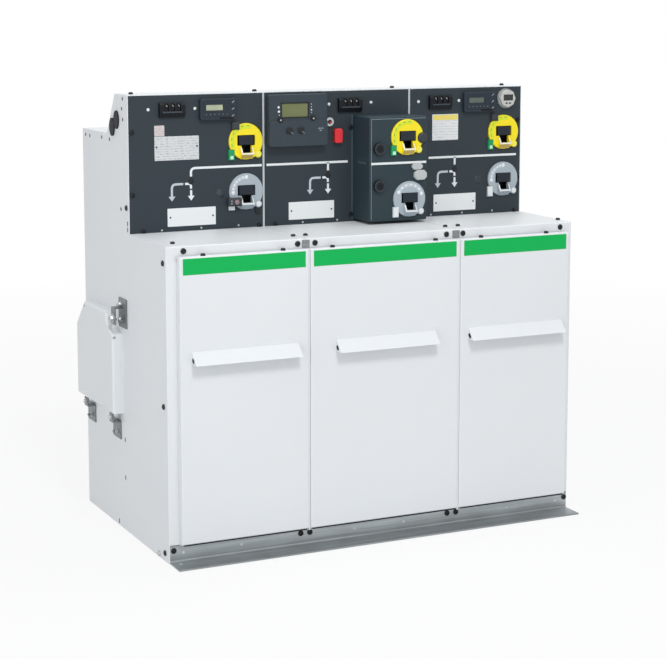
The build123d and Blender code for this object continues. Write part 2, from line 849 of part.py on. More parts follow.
def build_left_side():
    """Build the busbar end cover, its brackets and the cable grommets."""
    front = depth - cover_rear_inset - cover_length
    top = cover_foot + cover_height
    save("bus_cover", bus_cover(front, top))
    lower_foot = cover_foot - lower_bracket_gap - lower_bracket_height
    brackets = [
        upper_bracket(front - upper_bracket_lead, top - upper_bracket_drop),
        lower_bracket(front + lower_front_bracket_inset, lower_foot),
        lower_bracket(front + cover_length - lower_rear_bracket_inset, lower_foot),
    ]
    save("bus_cover_brackets", *brackets)
    grommets = [
        grommet(slope_head - front_grommet_lead, box_top_height - front_grommet_drop),
        grommet(slope_head + rear_grommet_lag, box_top_height - rear_grommet_drop),
    ]
    save("cable_grommets", *grommets)


os.makedirs("parts", exist_ok=True)
build_cabinet()
build_controls()
build_left_side()
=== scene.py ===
"""Looks of a three-cubicle ring main unit, dressed around its solid parts.

Places are in millimetres from the cabinet's lower left front corner: across to the right, back
towards the rear, and up. A spot on a face is across and up that face, or back and up on the
cabinet's sides. The finished meshes are in metres, in the frame of the solid parts.
"""

import logging
import math
from dataclasses import dataclass
from enum import Enum
from typing import Any, Iterable, List, Mapping, Optional, Sequence, Tuple, Union

import bpy
import numpy as np
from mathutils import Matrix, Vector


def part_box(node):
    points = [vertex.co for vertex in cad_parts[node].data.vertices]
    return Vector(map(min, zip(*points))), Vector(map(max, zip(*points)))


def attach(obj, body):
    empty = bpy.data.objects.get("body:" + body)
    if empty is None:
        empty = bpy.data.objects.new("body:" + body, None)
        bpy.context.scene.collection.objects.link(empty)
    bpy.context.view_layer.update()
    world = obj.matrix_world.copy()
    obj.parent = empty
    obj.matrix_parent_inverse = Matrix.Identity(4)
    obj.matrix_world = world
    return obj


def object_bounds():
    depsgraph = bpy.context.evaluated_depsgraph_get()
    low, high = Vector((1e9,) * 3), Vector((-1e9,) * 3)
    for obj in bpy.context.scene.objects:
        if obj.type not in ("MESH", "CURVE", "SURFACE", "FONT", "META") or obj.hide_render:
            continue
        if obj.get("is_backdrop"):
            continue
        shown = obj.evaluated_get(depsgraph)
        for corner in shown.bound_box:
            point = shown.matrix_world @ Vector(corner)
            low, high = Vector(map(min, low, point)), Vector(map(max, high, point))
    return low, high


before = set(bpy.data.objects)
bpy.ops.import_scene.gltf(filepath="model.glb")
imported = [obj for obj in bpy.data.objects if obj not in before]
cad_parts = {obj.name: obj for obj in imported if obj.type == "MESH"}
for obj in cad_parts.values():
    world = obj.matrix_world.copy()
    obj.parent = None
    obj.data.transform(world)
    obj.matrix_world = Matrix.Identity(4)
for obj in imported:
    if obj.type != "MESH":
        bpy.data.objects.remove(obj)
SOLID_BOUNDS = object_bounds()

Colour = Tuple[float, float, float]
Numbers = Tuple[float, ...]
Point = Tuple[float, float]
Points = Tuple[Point, ...]
Place = Tuple[float, float, float]
Tile = Tuple[Point, float, float]
PanelPlate = Tuple[Point, Point, float]
Key = Union[str, int]

MM = 0.001
CUBICLES = ("left", "middle", "right")
SIDES = (-1, 1)
WHITE = (1.0, 1.0, 1.0)
BLACK = (0.0, 0.0, 0.0)
COOL_LIGHT = (0.95, 0.985, 1.0)
DISPLAY_TOP = 255
CURVE_KNEE = 0.04045
CURVE_SLOPE = 12.92
CURVE_OFFSET = 0.055
CURVE_POWER = 2.4
FULL_TURN = 360.0
SMOOTH_ANGLE = math.radians(34)
SINK = 0.2
SMALL_ROUND = 14
SCREW_ROUND = 16
ROUND = 24
LARGE_ROUND = 28
HEAD_SHARES = ((1.0, -0.3), (1.0, 0.5), (0.82, 0.92), (0.46, 1.0), (0.4, 0.9), (0.34, 0.4))
HEX_SIDES = 6
HEX_CHAMFER_SHARE = 0.86
HEX_SHOULDER_SHARE = 0.75
DOME_TURN = 0.45 * math.pi
DOME_RINGS = 5
LEAST_MITRE_COSINE = 0.5
log = logging.getLogger("ring_main_unit")


def cabinet_corner() -> np.ndarray:
    """Return the cabinet's lower left front corner in metres, from its left side panel."""
    low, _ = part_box("left_side_panel")
    return np.array([low.x, low.y, 0.0])


CORNER = cabinet_corner()


def node_box(node: str) -> Tuple[np.ndarray, np.ndarray]:
    """Return the lowest and highest corner of a solid part, in millimetres from the cabinet's corner."""
    low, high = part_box(node)
    return (np.array(low) - CORNER) / MM, (np.array(high) - CORNER) / MM


def each_cubicle(stem: str) -> List[str]:
    """Return the names of a part that each cubicle has one of."""
    return [f"{stem}_{cubicle}" for cubicle in CUBICLES]


def cubicle_joints() -> List[float]:
    """Return the places across of the joints between the cubicles."""
    return [node_box(f"ledge_plate_{cubicle}")[1][0] for cubicle in CUBICLES[:-1]]


def on_side(across: float, spots: Iterable[Point]) -> List[Place]:
    """Return places on an upright side that stands at a distance across, from spots back and up."""
    return [(across, back, up) for back, up in spots]


class Facing(Enum):
    """The way a face looks: the across, up and out directions of what is set on it."""

    FRONT = ((1, 0, 0), (0, 0, 1), (0, -1, 0))
    REAR = ((-1, 0, 0), (0, 0, 1), (0, 1, 0))
    LEFT = ((0, -1, 0), (0, 0, 1), (-1, 0, 0))
    RIGHT = ((0, 1, 0), (0, 0, 1), (1, 0, 0))
    TOP = ((1, 0, 0), (0, 1, 0), (0, 0, 1))


@dataclass(frozen=True)
class Surface:
    """Points in millimetres and the faces between them; a triangle repeats its last corner."""

    points: np.ndarray
    faces: np.ndarray

    def placed(self, facing: Facing, place: Sequence[float]) -> "Surface":
        """Return the surface set on a face: across, up and out distances added to the place."""
        return Surface(np.asarray(place, float) + self.points @ np.array(facing.value, float), self.faces)

    def spread(self, facing: Facing, places: Iterable[Sequence[float]]) -> "Surface":
        """Return copies of the surface set on a face at each place, joined."""
        return joined(self.placed(facing, place) for place in places)

    def moved(self, across: float, up: float, out: float = 0.0) -> "Surface":
        """Return the surface moved in its own directions."""
        return Surface(self.points + np.array([across, up, out]), self.faces)

    def dotted(self, spots: Iterable[Sequence[float]]) -> "Surface":
        """Return copies of the surface moved to each spot, joined."""
        return joined(self.moved(*spot) for spot in spots)

    def scaled(self, factor: float) -> "Surface":
        """Return the surface made larger or smaller about its own origin."""
        return Surface(factor * self.points, self.faces)

    def turned_by(self, degrees: float) -> "Surface":
        """Return the surface turned anticlockwise about its own out direction."""
        cosine, sine = math.cos(math.radians(degrees)), math.sin(math.radians(degrees))
        return Surface(self.points @ np.array([[cosine, sine, 0], [-sine, cosine, 0], [0, 0, 1]]), self.faces)


def joined(surfaces: Iterable[Surface]) -> Surface:
    """Join surfaces into one.

    Args:
        surfaces: The surfaces to join.

    Returns:
        One surface, each part's faces counted on from the points of the parts before it.
    """
    parts = list(surfaces)
    starts = np.cumsum([0] + [len(part.points) for part in parts[:-1]])
    return Surface(
        np.concatenate([part.points for part in parts]),
        np.concatenate([part.faces + start for part, start in zip(parts, starts)]),
    )


def lofted(rings: np.ndarray) -> Surface:
    """Skin a stack of closed rings and close both ends with a fan.

    Point j of ring i is joined to point j + 1 of the same ring and to point j of ring i + 1, and
    the last point of a ring to its first, so that the skin has no seam.

    Args:
        rings: Ring points, shaped (ring, around, 3), anticlockwise seen from the last ring's end.

    Returns:
        The closed surface.
    """
    count, around, _ = rings.shape
    step = np.arange(around)
    following = (step + 1) % around
    lower = np.arange(count - 1)[:, None] * around
    upper = lower + around
    skin = np.stack([lower + step, lower + following, upper + following, upper + step], axis=-1)
    back = np.full(around, count * around)
    last = (count - 1) * around
    back_fan = np.stack([following, step, back, back], axis=-1)
    front_fan = np.stack([last + step, last + following, back + 1, back + 1], axis=-1)
    points = np.concatenate([rings.reshape(-1, 3), rings[[0, -1]].mean(axis=1)])
    return Surface(points, np.concatenate([skin.reshape(-1, 4), back_fan, front_fan]))


def rounded_outline(width: float, height: float, corner: float, steps: int = 5) -> np.ndarray:
    """Work out a rectangle with rounded corners.

    Each quarter turn is a circle of the corner's radius about the corner's centre, which is the
    half width and half height less that radius.

    Args:
        width: Size across.
        height: Size up.
        corner: Radius of the corners.
        steps: Points on each quarter turn.

    Returns:
        The outline's points, anticlockwise, shaped (4 * steps, 2).
    """
    angles = np.arange(4)[:, None] * math.pi / 2 + np.linspace(0, math.pi / 2, steps)[None]
    across = np.array([1, -1, -1, 1])[:, None] * (width / 2 - corner) + corner * np.cos(angles)
    up = np.array([1, 1, -1, -1])[:, None] * (height / 2 - corner) + corner * np.sin(angles)
    return np.stack([across, up], axis=-1).reshape(-1, 2)


def round_outline(radius: float, around: int = ROUND) -> np.ndarray:
    """Return a circle's points: the radius times the cosine and sine of equal steps of angle."""
    angles = np.arange(around) * 2 * math.pi / around
    return radius * np.stack([np.cos(angles), np.sin(angles)], axis=-1)


def arc_path(radius: float, start: float, stop: float, steps: int) -> np.ndarray:
    """Return points on an arc: the radius times the cosine and sine of angles from start to stop."""
    angles = np.radians(np.linspace(start, stop, steps))
    return radius * np.stack([np.cos(angles), np.sin(angles)], axis=-1)


def plate(outline: np.ndarray, thickness: float, ease: float = 0.2) -> Surface:
    """Carry an outline out into a plate with an eased front edge.

    The rings are the outline a little behind the face that carries the plate, the outline just
    short of the front, and the outline drawn in by the ease at the front.

    Args:
        outline: Points of a closed outline about its own middle, anticlockwise.
        thickness: How far the front stands out.
        ease: How far the front edge is drawn in and back.

    Returns:
        The closed plate.
    """
    inner = outline * (1 - ease / np.abs(outline).max(axis=0))
    levels = np.repeat([-SINK, thickness - ease, thickness], len(outline))
    return lofted(np.column_stack([np.concatenate([outline, outline, inner]), levels]).reshape(3, -1, 3))


def tile(size: Point, corner: float, thickness: float) -> Surface:
    """Return a thin rectangular plate with small rounded corners."""
    return plate(rounded_outline(*size, corner, steps=3), thickness)


def turned(profile: Sequence[Point], around: int = ROUND, ribs: int = 0, rib_share: float = 0.0) -> Surface:
    """Turn a profile about the out direction.

    A point's distance from the axis is its profile radius, times one plus the rib share times the
    cosine of the rib count times the angle.

    Args:
        profile: Radii and heights from back to front.
        around: Points round the axis.
        ribs: Number of ribs round the axis.
        rib_share: Depth of the ribs as a share of the radius.

    Returns:
        The closed turned surface.
    """
    angles = np.arange(around) * 2 * math.pi / around
    radii, heights = np.array(profile, float).T[..., None]
    reach = radii * (1 + rib_share * np.cos(ribs * angles))
    level = np.repeat(heights, around, axis=1)
    return lofted(np.stack([reach * np.cos(angles), reach * np.sin(angles), level], axis=-1))


def screw_head(radius: float, height: float) -> Surface:
    """Return a round screw head with a domed rim and a socket in the middle, by shares of its size."""
    return turned(np.array(HEAD_SHARES) * (radius, height), SCREW_ROUND)


def hex_bolt(radius: float, height: float) -> Surface:
    """Return a six-sided bolt head with its corners turned off."""
    shoulder = (radius, HEX_SHOULDER_SHARE * height)
    return turned(((radius, -SINK), shoulder, (HEX_CHAMFER_SHARE * radius, height)), HEX_SIDES)


def dome(radius: float, height: float, around: int = SMALL_ROUND) -> Surface:
    """Work out a low dome on a straight foot.

    A ring's radius is the dome's radius times the cosine, and its height the dome's height times the
    sine, of an angle that goes nearly to a quarter turn.

    Args:
        radius: Radius at the foot.
        height: Height of a full quarter turn.
        around: Points round the axis.

    Returns:
        The closed dome.
    """
    angle = np.linspace(0, DOME_TURN, DOME_RINGS)
    rings = np.column_stack([radius * np.cos(angle), height * np.sin(angle)])
    return turned([(radius, -height / 2), *rings], around)


def rounded_path(corners: Sequence[Point], bend: float, steps: int = 5) -> np.ndarray:
    """Round the inner corners of a line.

    Between the points one bend before and one bend after a corner, the line follows the quadratic
    curve that leaves along one leg and arrives along the other.

    Args:
        corners: The line's points.
        bend: Distance from a corner at which its curve starts.
        steps: Points on each curve.

    Returns:
        The rounded line's points, shaped (n, 2).
    """
    line = np.asarray(corners, float)
    legs = np.diff(line, axis=0)
    legs /= np.linalg.norm(legs, axis=1, keepdims=True)
    knee = line[1:-1, None]
    start = knee - bend * legs[:-1, None]
    stop = knee + bend * legs[1:, None]
    t = np.linspace(0, 1, steps)[None, :, None]
    curves = (1 - t) ** 2 * start + 2 * t * (1 - t) * knee + t**2 * stop
    return np.concatenate([line[:1], curves.reshape(-1, 2), line[-1:]])


def ribbon(path: Sequence[Sequence[float]], width: float, thickness: float, ease: float = 0.3) -> Surface:
    """Carry a flat bar's profile along a path that lies on a face.

    At each point of the path the profile stands square to the mean of the two legs that meet
    there, widened by one over the cosine of half the turn, so that the bar keeps its width.

    Args:
        path: Points across and up the face, shaped (n, 2).
        width: Width of the bar.
        thickness: How far the bar stands out.
        ease: How far the bar's front edges are drawn in.

    Returns:
        The closed bar.
    """
    line = np.asarray(path, float)
    legs = np.diff(line, axis=0)
    legs /= np.linalg.norm(legs, axis=1, keepdims=True)
    before = np.concatenate([legs[:1], legs])
    along = before + np.concatenate([legs, legs[-1:]])
    along /= np.linalg.norm(along, axis=1, keepdims=True)
    widen = 1 / np.maximum((along * before).sum(axis=1), LEAST_MITRE_COSINE)
    side = np.stack([-along[:, 1], along[:, 0]], axis=-1) * widen[:, None]
    half = width / 2
    offsets = np.array([-half, half, half - ease, ease - half])
    flat = line[:, None] + offsets[None, :, None] * side[:, None]
    level = np.broadcast_to(np.array([-SINK, -SINK, thickness, thickness]), flat.shape[:2])
    return lofted(np.concatenate([flat, level[..., None]], axis=-1))


def bar(start: Place, stop: Place, side: Place, width: float, thickness: float) -> Surface:
    """Carry a small rectangle from one point to another.

    Each end is a ring of four corners about its point: half the width along the side direction,
    and half the thickness along the direction square to both the bar and its side.

    Args:
        start: Middle of the bar's first end.
        stop: Middle of its other end.
        side: Direction of its width.
        width: Size along the side direction.
        thickness: Size square to it.

    Returns:
        The closed bar.
    """
    ends = np.array([start, stop], float)
    along = (ends[1] - ends[0]) / np.linalg.norm(ends[1] - ends[0])
    across = np.asarray(side, float) - np.dot(side, along) * along
    across *= width / 2 / np.linalg.norm(across)
    square = np.cross(along, across) * thickness / width
    ring = np.array([[-1, -1], [1, -1], [1, 1], [-1, 1]]) @ np.array([across, square])
    return lofted(ends[:, None] + ring[None])


def border(width: float, height: float, line: float, thickness: float) -> Surface:
    """Join four flat bars into a rectangular border.

    The middles of the posts lie half the width out, and those of the rails half the height.

    Args:
        width: Distance between the middles of the posts.
        height: Distance between the middles of the rails.
        line: Width of the bars.
        thickness: How far they stand out.

    Returns:
        The border, about its own middle.
    """
    x, z = width / 2, height / 2
    post = ribbon([(0, -z - line / 2), (0, z + line / 2)], line, thickness)
    rail = ribbon([(-x, 0), (x, 0)], line, thickness)
    posts, rails = post.dotted([(-x, 0), (x, 0)]), rail.dotted([(0, -z), (0, z)])
    return joined([posts, rails])


class Socket:
    """A node's output, with sums on values written as Python expressions."""

    def __init__(self, graph: "Graph", output: Optional[bpy.types.NodeSocket]) -> None:
        """Hold the output and the graph that it belongs to."""
        self.graph = graph
        self.output = output

    def math(self, operation: str, first: Any, second: Any) -> "Socket":
        """Return the result of a Math node on two values."""
        return self.graph.node("ShaderNodeMath", {"operation": operation}, {0: first, 1: second})

    def __add__(self, other: Any) -> "Socket":
        """Return this value plus another."""
        return self.math("ADD", self, other)

    __radd__ = __add__

    def __mul__(self, other: Any) -> "Socket":
        """Return this value times another."""
        return self.math("MULTIPLY", self, other)

    __rmul__ = __mul__

    def __sub__(self, other: Any) -> "Socket":
        """Return this value less another."""
        return self.math("SUBTRACT", self, other)

    def __rsub__(self, other: Any) -> "Socket":
        """Return another value less this one."""
        return self.math("SUBTRACT", other, self)

    def __gt__(self, other: Any) -> "Socket":
        """Return one where this value is the greater, and nought elsewhere."""
        return self.math("GREATER_THAN", self, other)

    def __lt__(self, other: Any) -> "Socket":
        """Return one where this value is the smaller, and nought elsewhere."""
        return self.math("LESS_THAN", self, other)

    def __mod__(self, other: Any) -> "Socket":
        """Return what is left of this value over whole steps of another, counted from below."""
        return self.math("FLOORED_MODULO", self, other)

    def at_most(self, other: Any) -> "Socket":
        """Return the smaller of this value and another."""
        return self.math("MINIMUM", self, other)

    def within_unit(self) -> "Socket":
        """Return this value held between nought and one."""
        return self.math("MAXIMUM", self.at_most(1.0), 0.0)


class Graph:
    """The nodes of one material or of the world."""

    def __init__(self, tree: bpy.types.NodeTree) -> None:
        """Start the graph with no nodes in the tree."""
        tree.nodes.clear()
        self.tree = tree

    def node(
        self,
        kind: str,
        settings: Optional[Mapping[str, Any]] = None,
        inputs: Optional[Mapping[Key, Any]] = None,
        output: Key = 0,
    ) -> Socket:
        """Add a node.

        Args:
            kind: The node's type.
            settings: The node's own settings, set before its sockets; "stops" holds a ramp's
                (position, colour) pairs.
            inputs: Values or links of its input sockets, by name or number.
            output: The output to hand back, by name or number.

        Returns:
            The chosen output.
        """
        made = self.tree.nodes.new(kind)
        for key, value in (settings or {}).items():
            if key == "stops":
                self.set_stops(made.color_ramp, value)
            else:
                setattr(made, key, value)
        for key, value in (inputs or {}).items():
            if isinstance(value, Socket):
                self.tree.links.new(value.output, made.inputs[key])
            else:
                made.inputs[key].default_value = value
        return Socket(self, made.outputs[output] if len(made.outputs) else None)

    @staticmethod
    def set_stops(ramp: bpy.types.ColorRamp, stops: Sequence[Tuple[float, Colour]]) -> None:
        """Give a ramp its stops.

        Args:
            ramp: The ramp of a new node.
            stops: Its (position, colour) pairs.
        """
        for _ in range(len(stops) - len(ramp.elements)):
            ramp.elements.new(1.0)
        for element, (position, colour) in zip(ramp.elements, stops):
            element.position = position
            element.color = (*colour, 1.0)

    def place(self) -> Socket:
        """Return the Object coordinates, in metres in the frame of the solid parts."""
        return self.node("ShaderNodeTexCoord", output="Object")

    def axis(self, name: str) -> Socket:
        """Return one of the Object coordinates, X, Y or Z."""
        return self.node("ShaderNodeSeparateXYZ", inputs={0: self.place()}, output=name)

    def noise(self, scale: float, detail: float, stretch: Place = (1.0, 1.0, 1.0)) -> Socket:
        """Return smooth noise from nought to one, the place first multiplied by the stretch."""
        place = self.node("ShaderNodeVectorMath", {"operation": "MULTIPLY"}, {0: self.place(), 1: stretch})
        return self.node("ShaderNodeTexNoise", inputs={"Vector": place, "Scale": scale, "Detail": detail})

    def cells(self, scale: float) -> Socket:
        """Return a random value from nought to one for each cell of a crystal pattern."""
        cell = self.node("ShaderNodeTexVoronoi", None, {"Vector": self.place(), "Scale": scale}, "Color")
        return self.node("ShaderNodeSeparateColor", inputs={0: cell})

    def blend(self, share: Any, first: Any, second: Any) -> Socket:
        """Return a colour between two, at a share of the way from the first."""
        ends = [(*end, 1.0) if isinstance(end, tuple) else end for end in (first, second)]
        return self.node("ShaderNodeMix", {"data_type": "RGBA"}, {0: share, 6: ends[0], 7: ends[1]}, output=2)

    def bump(self, height: Socket, strength: float, distance: float) -> Socket:
        """Return a normal tilted by a height pattern."""
        inputs = {"Height": height, "Strength": strength, "Distance": distance}
        return self.node("ShaderNodeBump", inputs=inputs)


def linear_colour(display: Tuple[int, int, int]) -> Colour:
    """Work out the linear colour of a display colour, by the standard curve.

    Below the knee a channel is divided by the slope; above it, the offset is added, the sum is scaled
    back so that white stays white, and raised to the power.

    Args:
        display: Red, green and blue from 0 to 255.

    Returns:
        Linear red, green and blue from nought to one.
    """
    shares = np.array(display) / DISPLAY_TOP
    curve = ((shares + CURVE_OFFSET) / (1 + CURVE_OFFSET)) ** CURVE_POWER
    return tuple(np.where(shares <= CURVE_KNEE, shares / CURVE_SLOPE, curve).tolist())


@dataclass(frozen=True)
class Finish:
    """A surface finish: its name, its display colour, and how rough it is.

    In every finish a noise is given by its scale and detail, and a bump by its strength and its depth
    in metres. A reach is the two distances from the finish's roughness that a pattern moves between,
    and shades are factors on its colour.
    """

    name: str
    display: Tuple[int, int, int]
    roughness: float
    specular: float = 0.5

    def material(self) -> bpy.types.Material:
        """Make the finish's material at its first use.

        Returns:
            The material that goes by the finish's name.
        """
        made = bpy.data.materials.get(self.name)
        if made is None:
            made = bpy.data.materials.new(self.name)
            made.use_nodes = True
            self.draw(Graph(made.node_tree))
        return made

    def draw(self, graph: Graph) -> None:
        """Draw the finish's nodes."""
        raise NotImplementedError

    def shaded(self, factor: float) -> Colour:
        """Return the finish's colour made darker or lighter by a factor, no channel past white."""
        return tuple(min(1.0, channel * factor) for channel in linear_colour(self.display))

    def tones(self, graph: Graph, pattern: Socket, shades: Point) -> Socket:
        """Return a colour that goes from one shade to another with a pattern."""
        return graph.blend(pattern, self.shaded(shades[0]), self.shaded(shades[1]))

    def rough(self, pattern: Socket, reach: Point) -> Socket:
        """Return a roughness that goes from one end of a reach to the other with a pattern."""
        return self.roughness + reach[0] + (reach[1] - reach[0]) * pattern

    def end(self, graph: Graph, inputs: Mapping[Key, Any]) -> None:
        """End the finish's graph in a shader with its own specular level.

        Args:
            graph: The graph to end.
            inputs: The shader's other inputs.
        """
        inputs = {**inputs, "Specular IOR Level": self.specular}
        shader = graph.node("ShaderNodeBsdfPrincipled", inputs=inputs)
        graph.node("ShaderNodeOutputMaterial", inputs={"Surface": shader})


@dataclass(frozen=True)
class PowderCoat(Finish):
    """Baked paint on sheet: a slow drift of shade and a fine orange-peel skin."""

    drift: float = 0.03
    drift_noise: Point = (2.2, 3.0)
    smudge_noise: Point = (11.0, 4.0)
    smudge_reach: Point = (-0.06, 0.06)
    peel_noise: Point = (620.0, 1.0)
    peel_bump: Point = (0.22, 0.00006)

    def draw(self, graph: Graph) -> None:
        """Draw paint whose shade drifts slowly, under a fine skin.

        Args:
            graph: The graph to draw in.
        """
        drift = graph.noise(*self.drift_noise)
        self.end(graph, {
            "Base Color": self.tones(graph, drift, (1 - self.drift, 1 + self.drift)),
            "Roughness": self.rough(graph.noise(*self.smudge_noise), self.smudge_reach),
            "Normal": graph.bump(graph.noise(*self.peel_noise), *self.peel_bump),
        })


@dataclass(frozen=True)
class StructurePaint(Finish):
    """Dark structured paint: fine pebbles, each a little lighter or darker than the next."""

    pebble_noise: Point = (950.0, 2.0)
    pebble_shades: Point = (0.8, 1.2)
    pebble_bump: Point = (0.35, 0.00012)
    dust_noise: Point = (7.0, 5.0)
    dust_shade: float = 2.0
    dust_share: float = 0.12
    dust_reach: Point = (-0.08, 0.08)

    def draw(self, graph: Graph) -> None:
        """Draw pebbled paint with a thin uneven film of dust.

        Args:
            graph: The graph to draw in.
        """
        pebble = graph.noise(*self.pebble_noise)
        dust = graph.noise(*self.dust_noise)
        paint = self.tones(graph, pebble, self.pebble_shades)
        self.end(graph, {
            "Base Color": graph.blend(dust * self.dust_share, paint, self.shaded(self.dust_shade)),
            "Roughness": self.rough(dust, self.dust_reach),
            "Normal": graph.bump(pebble, *self.pebble_bump),
        })


@dataclass(frozen=True)
class GalvanisedZinc(Finish):
    """Hot-dip zinc: crystal cells of differing grey, dull patches and streaks along the length."""

    cell_scale: float = 85.0
    cell_share: float = 0.22
    patch_noise: Point = (9.0, 5.0)
    patch_share: float = 0.28
    patch_reach: Point = (-0.08, 0.12)
    patch_bump: Point = (0.15, 0.0006)
    streak_noise: Point = (1.0, 4.0)
    streak_stretch: Place = (2.0, 60.0, 60.0)
    streak_share: float = 0.5
    contrast: float = 0.32
    metallic: float = 0.8

    def draw(self, graph: Graph) -> None:
        """Draw zinc cells under dull patches and streaks.

        Args:
            graph: The graph to draw in.
        """
        cell = graph.cells(self.cell_scale)
        patch = graph.noise(*self.patch_noise)
        streak = graph.noise(*self.streak_noise, self.streak_stretch)
        tone = self.cell_share * cell + self.patch_share * patch + self.streak_share * streak
        self.end(graph, {
            "Base Color": self.tones(graph, tone, (1 - self.contrast, 1 + self.contrast)),
            "Metallic": self.metallic,
            "Roughness": self.rough(patch, self.patch_reach),
            "Normal": graph.bump(patch, *self.patch_bump),
        })


@dataclass(frozen=True)
class RolledZinc(Finish):
    """Zinc on the base angle: fine streaks along it, and painted shade towards its bend, its top edge and its
    toe.

    The painted shade at the top edge stands for the shadow that the panels cast on the leg. The shade shares
    go with heights that are shares of the angle's leg. The toe starts a gap in front of the cabinet and ends
    at the angle's front edge.
    """

    streak_noise: Point = (1.0, 5.0)
    streak_stretch: Place = (4.0, 150.0, 190.0)
    streak_share: float = 0.7
    streak_bump: Point = (0.12, 0.0004)
    patch_noise: Point = (14.0, 4.0)
    patch_share: float = 0.3
    patch_reach: Point = (-0.08, 0.12)
    painted_shade_shares: Points = (
        (0.0, 0.16), (0.09, 0.12), (0.13, 0.42), (0.2, 0.46),
        (0.32, 0.3), (0.6, 0.06), (0.85, 0.0), (1.0, 0.45),
    )
    toe_gap: float = 13.0
    toe_shade_share: float = 0.3
    contrast: float = 0.62
    metallic: float = 0.75

    def draw(self, graph: Graph) -> None:
        """Draw streaked zinc, darkened by painted shade that goes with the height above the floor, and
        towards the toe.

        Args:
            graph: The graph to draw in.
        """
        low, high = MM * np.array(node_box("front_base_angle"))
        streak = graph.noise(*self.streak_noise, self.streak_stretch)
        patch = graph.noise(*self.patch_noise)
        tone = self.streak_share * streak + self.patch_share * patch
        zinc = self.tones(graph, tone, (1 - self.contrast, 1 + self.contrast))
        # Painted shade by height: the panels' shadow at the top of the leg, and darker bands about the bend.
        stops = [(position, (share, share, share)) for position, share in self.painted_shade_shares]
        level = graph.axis("Z") * (1 / high[2])
        dull = graph.node("ShaderNodeValToRGB", {"stops": stops}, {0: level})
        # Painted shade on the flange, growing towards its toe.
        toe_start = -MM * self.toe_gap
        toe = ((CORNER[1] + toe_start - graph.axis("Y")) * (1 / (toe_start - low[1]))).within_unit()
        self.end(graph, {
            "Base Color": graph.blend(toe * self.toe_shade_share, graph.blend(dull, zinc, BLACK), BLACK),
            "Metallic": self.metallic,
            "Roughness": self.rough(patch, self.patch_reach),
            "Normal": graph.bump(streak, *self.streak_bump),
        })


@dataclass(frozen=True)
class Moulding(Finish):
    """Moulded plastic: a fine grain and a faint drift of shade."""

    grain_noise: Point = (1400.0, 1.0)
    grain_bump: Point = (0.2, 0.00004)
    drift: float = 0.06
    drift_noise: Point = (34.0, 3.0)
    drift_reach: Point = (-0.05, 0.05)
    coat: float = 0.0

    def draw(self, graph: Graph) -> None:
        """Draw grained plastic.

        Args:
            graph: The graph to draw in.
        """
        drift = graph.noise(*self.drift_noise)
        self.end(graph, {
            "Base Color": self.tones(graph, drift, (1 - self.drift, 1 + self.drift)),
            "Roughness": self.rough(drift, self.drift_reach),
            "Coat Weight": self.coat,
            "Normal": graph.bump(graph.noise(*self.grain_noise), *self.grain_bump),
        })


@dataclass(frozen=True)
class BrightMetal(Finish):
    """Plated metal: fine brushing over a bright ground."""

    brush_noise: Point = (1.0, 2.0)
    brush_stretch: Place = (900.0, 900.0, 90.0)
    brush_shades: Point = (0.85, 1.1)
    brush_reach: Point = (-0.05, 0.05)

    def draw(self, graph: Graph) -> None:
        """Draw brushed plating.

        Args:
            graph: The graph to draw in.
        """
        brush = graph.noise(*self.brush_noise, self.brush_stretch)
        self.end(graph, {
            "Base Color": self.tones(graph, brush, self.brush_shades),
            "Metallic": 1.0,
            "Roughness": self.rough(brush, self.brush_reach),
        })


@dataclass(frozen=True)
class DisplayGlass(Finish):
    """A small liquid crystal display under glass: a pixel grid with a paler and a darker end."""

    dark: Colour = (0.02, 0.03, 0.015)
    pixel: float = 0.0016
    line_share: float = 0.22
    grid_share: float = 0.3
    fade_noise: Point = (26.0, 1.0)
    fade_shades: Point = (0.8, 1.2)
    fade_reach: Point = (0.0, 0.08)
    coat: float = 0.6

    def draw(self, graph: Graph) -> None:
        """Draw the pixel grid over a ground that fades from one side to the other.

        Args:
            graph: The graph to draw in.
        """
        lines = [graph.axis(name) % self.pixel < self.pixel * self.line_share for name in "XZ"]
        fade = graph.noise(*self.fade_noise)
        ground = self.tones(graph, fade, self.fade_shades)
        grid = (lines[0] + lines[1]).at_most(1.0)
        self.end(graph, {
            "Base Color": graph.blend(grid * self.grid_share, ground, self.dark),
            "Roughness": self.rough(fade, self.fade_reach),
            "Coat Weight": self.coat,
        })


@dataclass(frozen=True)
class RuledPlate(Finish):
    """A printed plate that carries nothing but plain ruled lines, broken along their length."""

    ink: Colour = (0.08, 0.085, 0.09)
    ink_share: float = 0.6
    pitch: float = 0.0076
    line_share: float = 0.3
    run_scale: float = 42.0
    run_detail: float = 3.0
    run_jump: float = 6.0
    run_share: float = 0.5
    paper_noise: Point = (300.0, 2.0)
    paper_shades: Point = (0.95, 1.03)
    paper_reach: Point = (0.0, 0.1)

    def draw(self, graph: Graph) -> None:
        """Draw rules at an even pitch, each broken where its own noise is low.

        Args:
            graph: The graph to draw in.
        """
        rule = graph.axis("Z") % self.pitch < self.pitch * self.line_share
        stretch = (1.0, 0.0, self.run_jump / (self.run_scale * self.pitch))
        run = graph.noise(self.run_scale, self.run_detail, stretch) > 1 - self.run_share
        paper = graph.noise(*self.paper_noise)
        ground = self.tones(graph, paper, self.paper_shades)
        self.end(graph, {
            "Base Color": graph.blend(rule * run * self.ink_share, ground, self.ink),
            "Roughness": self.rough(paper, self.paper_reach),
        })


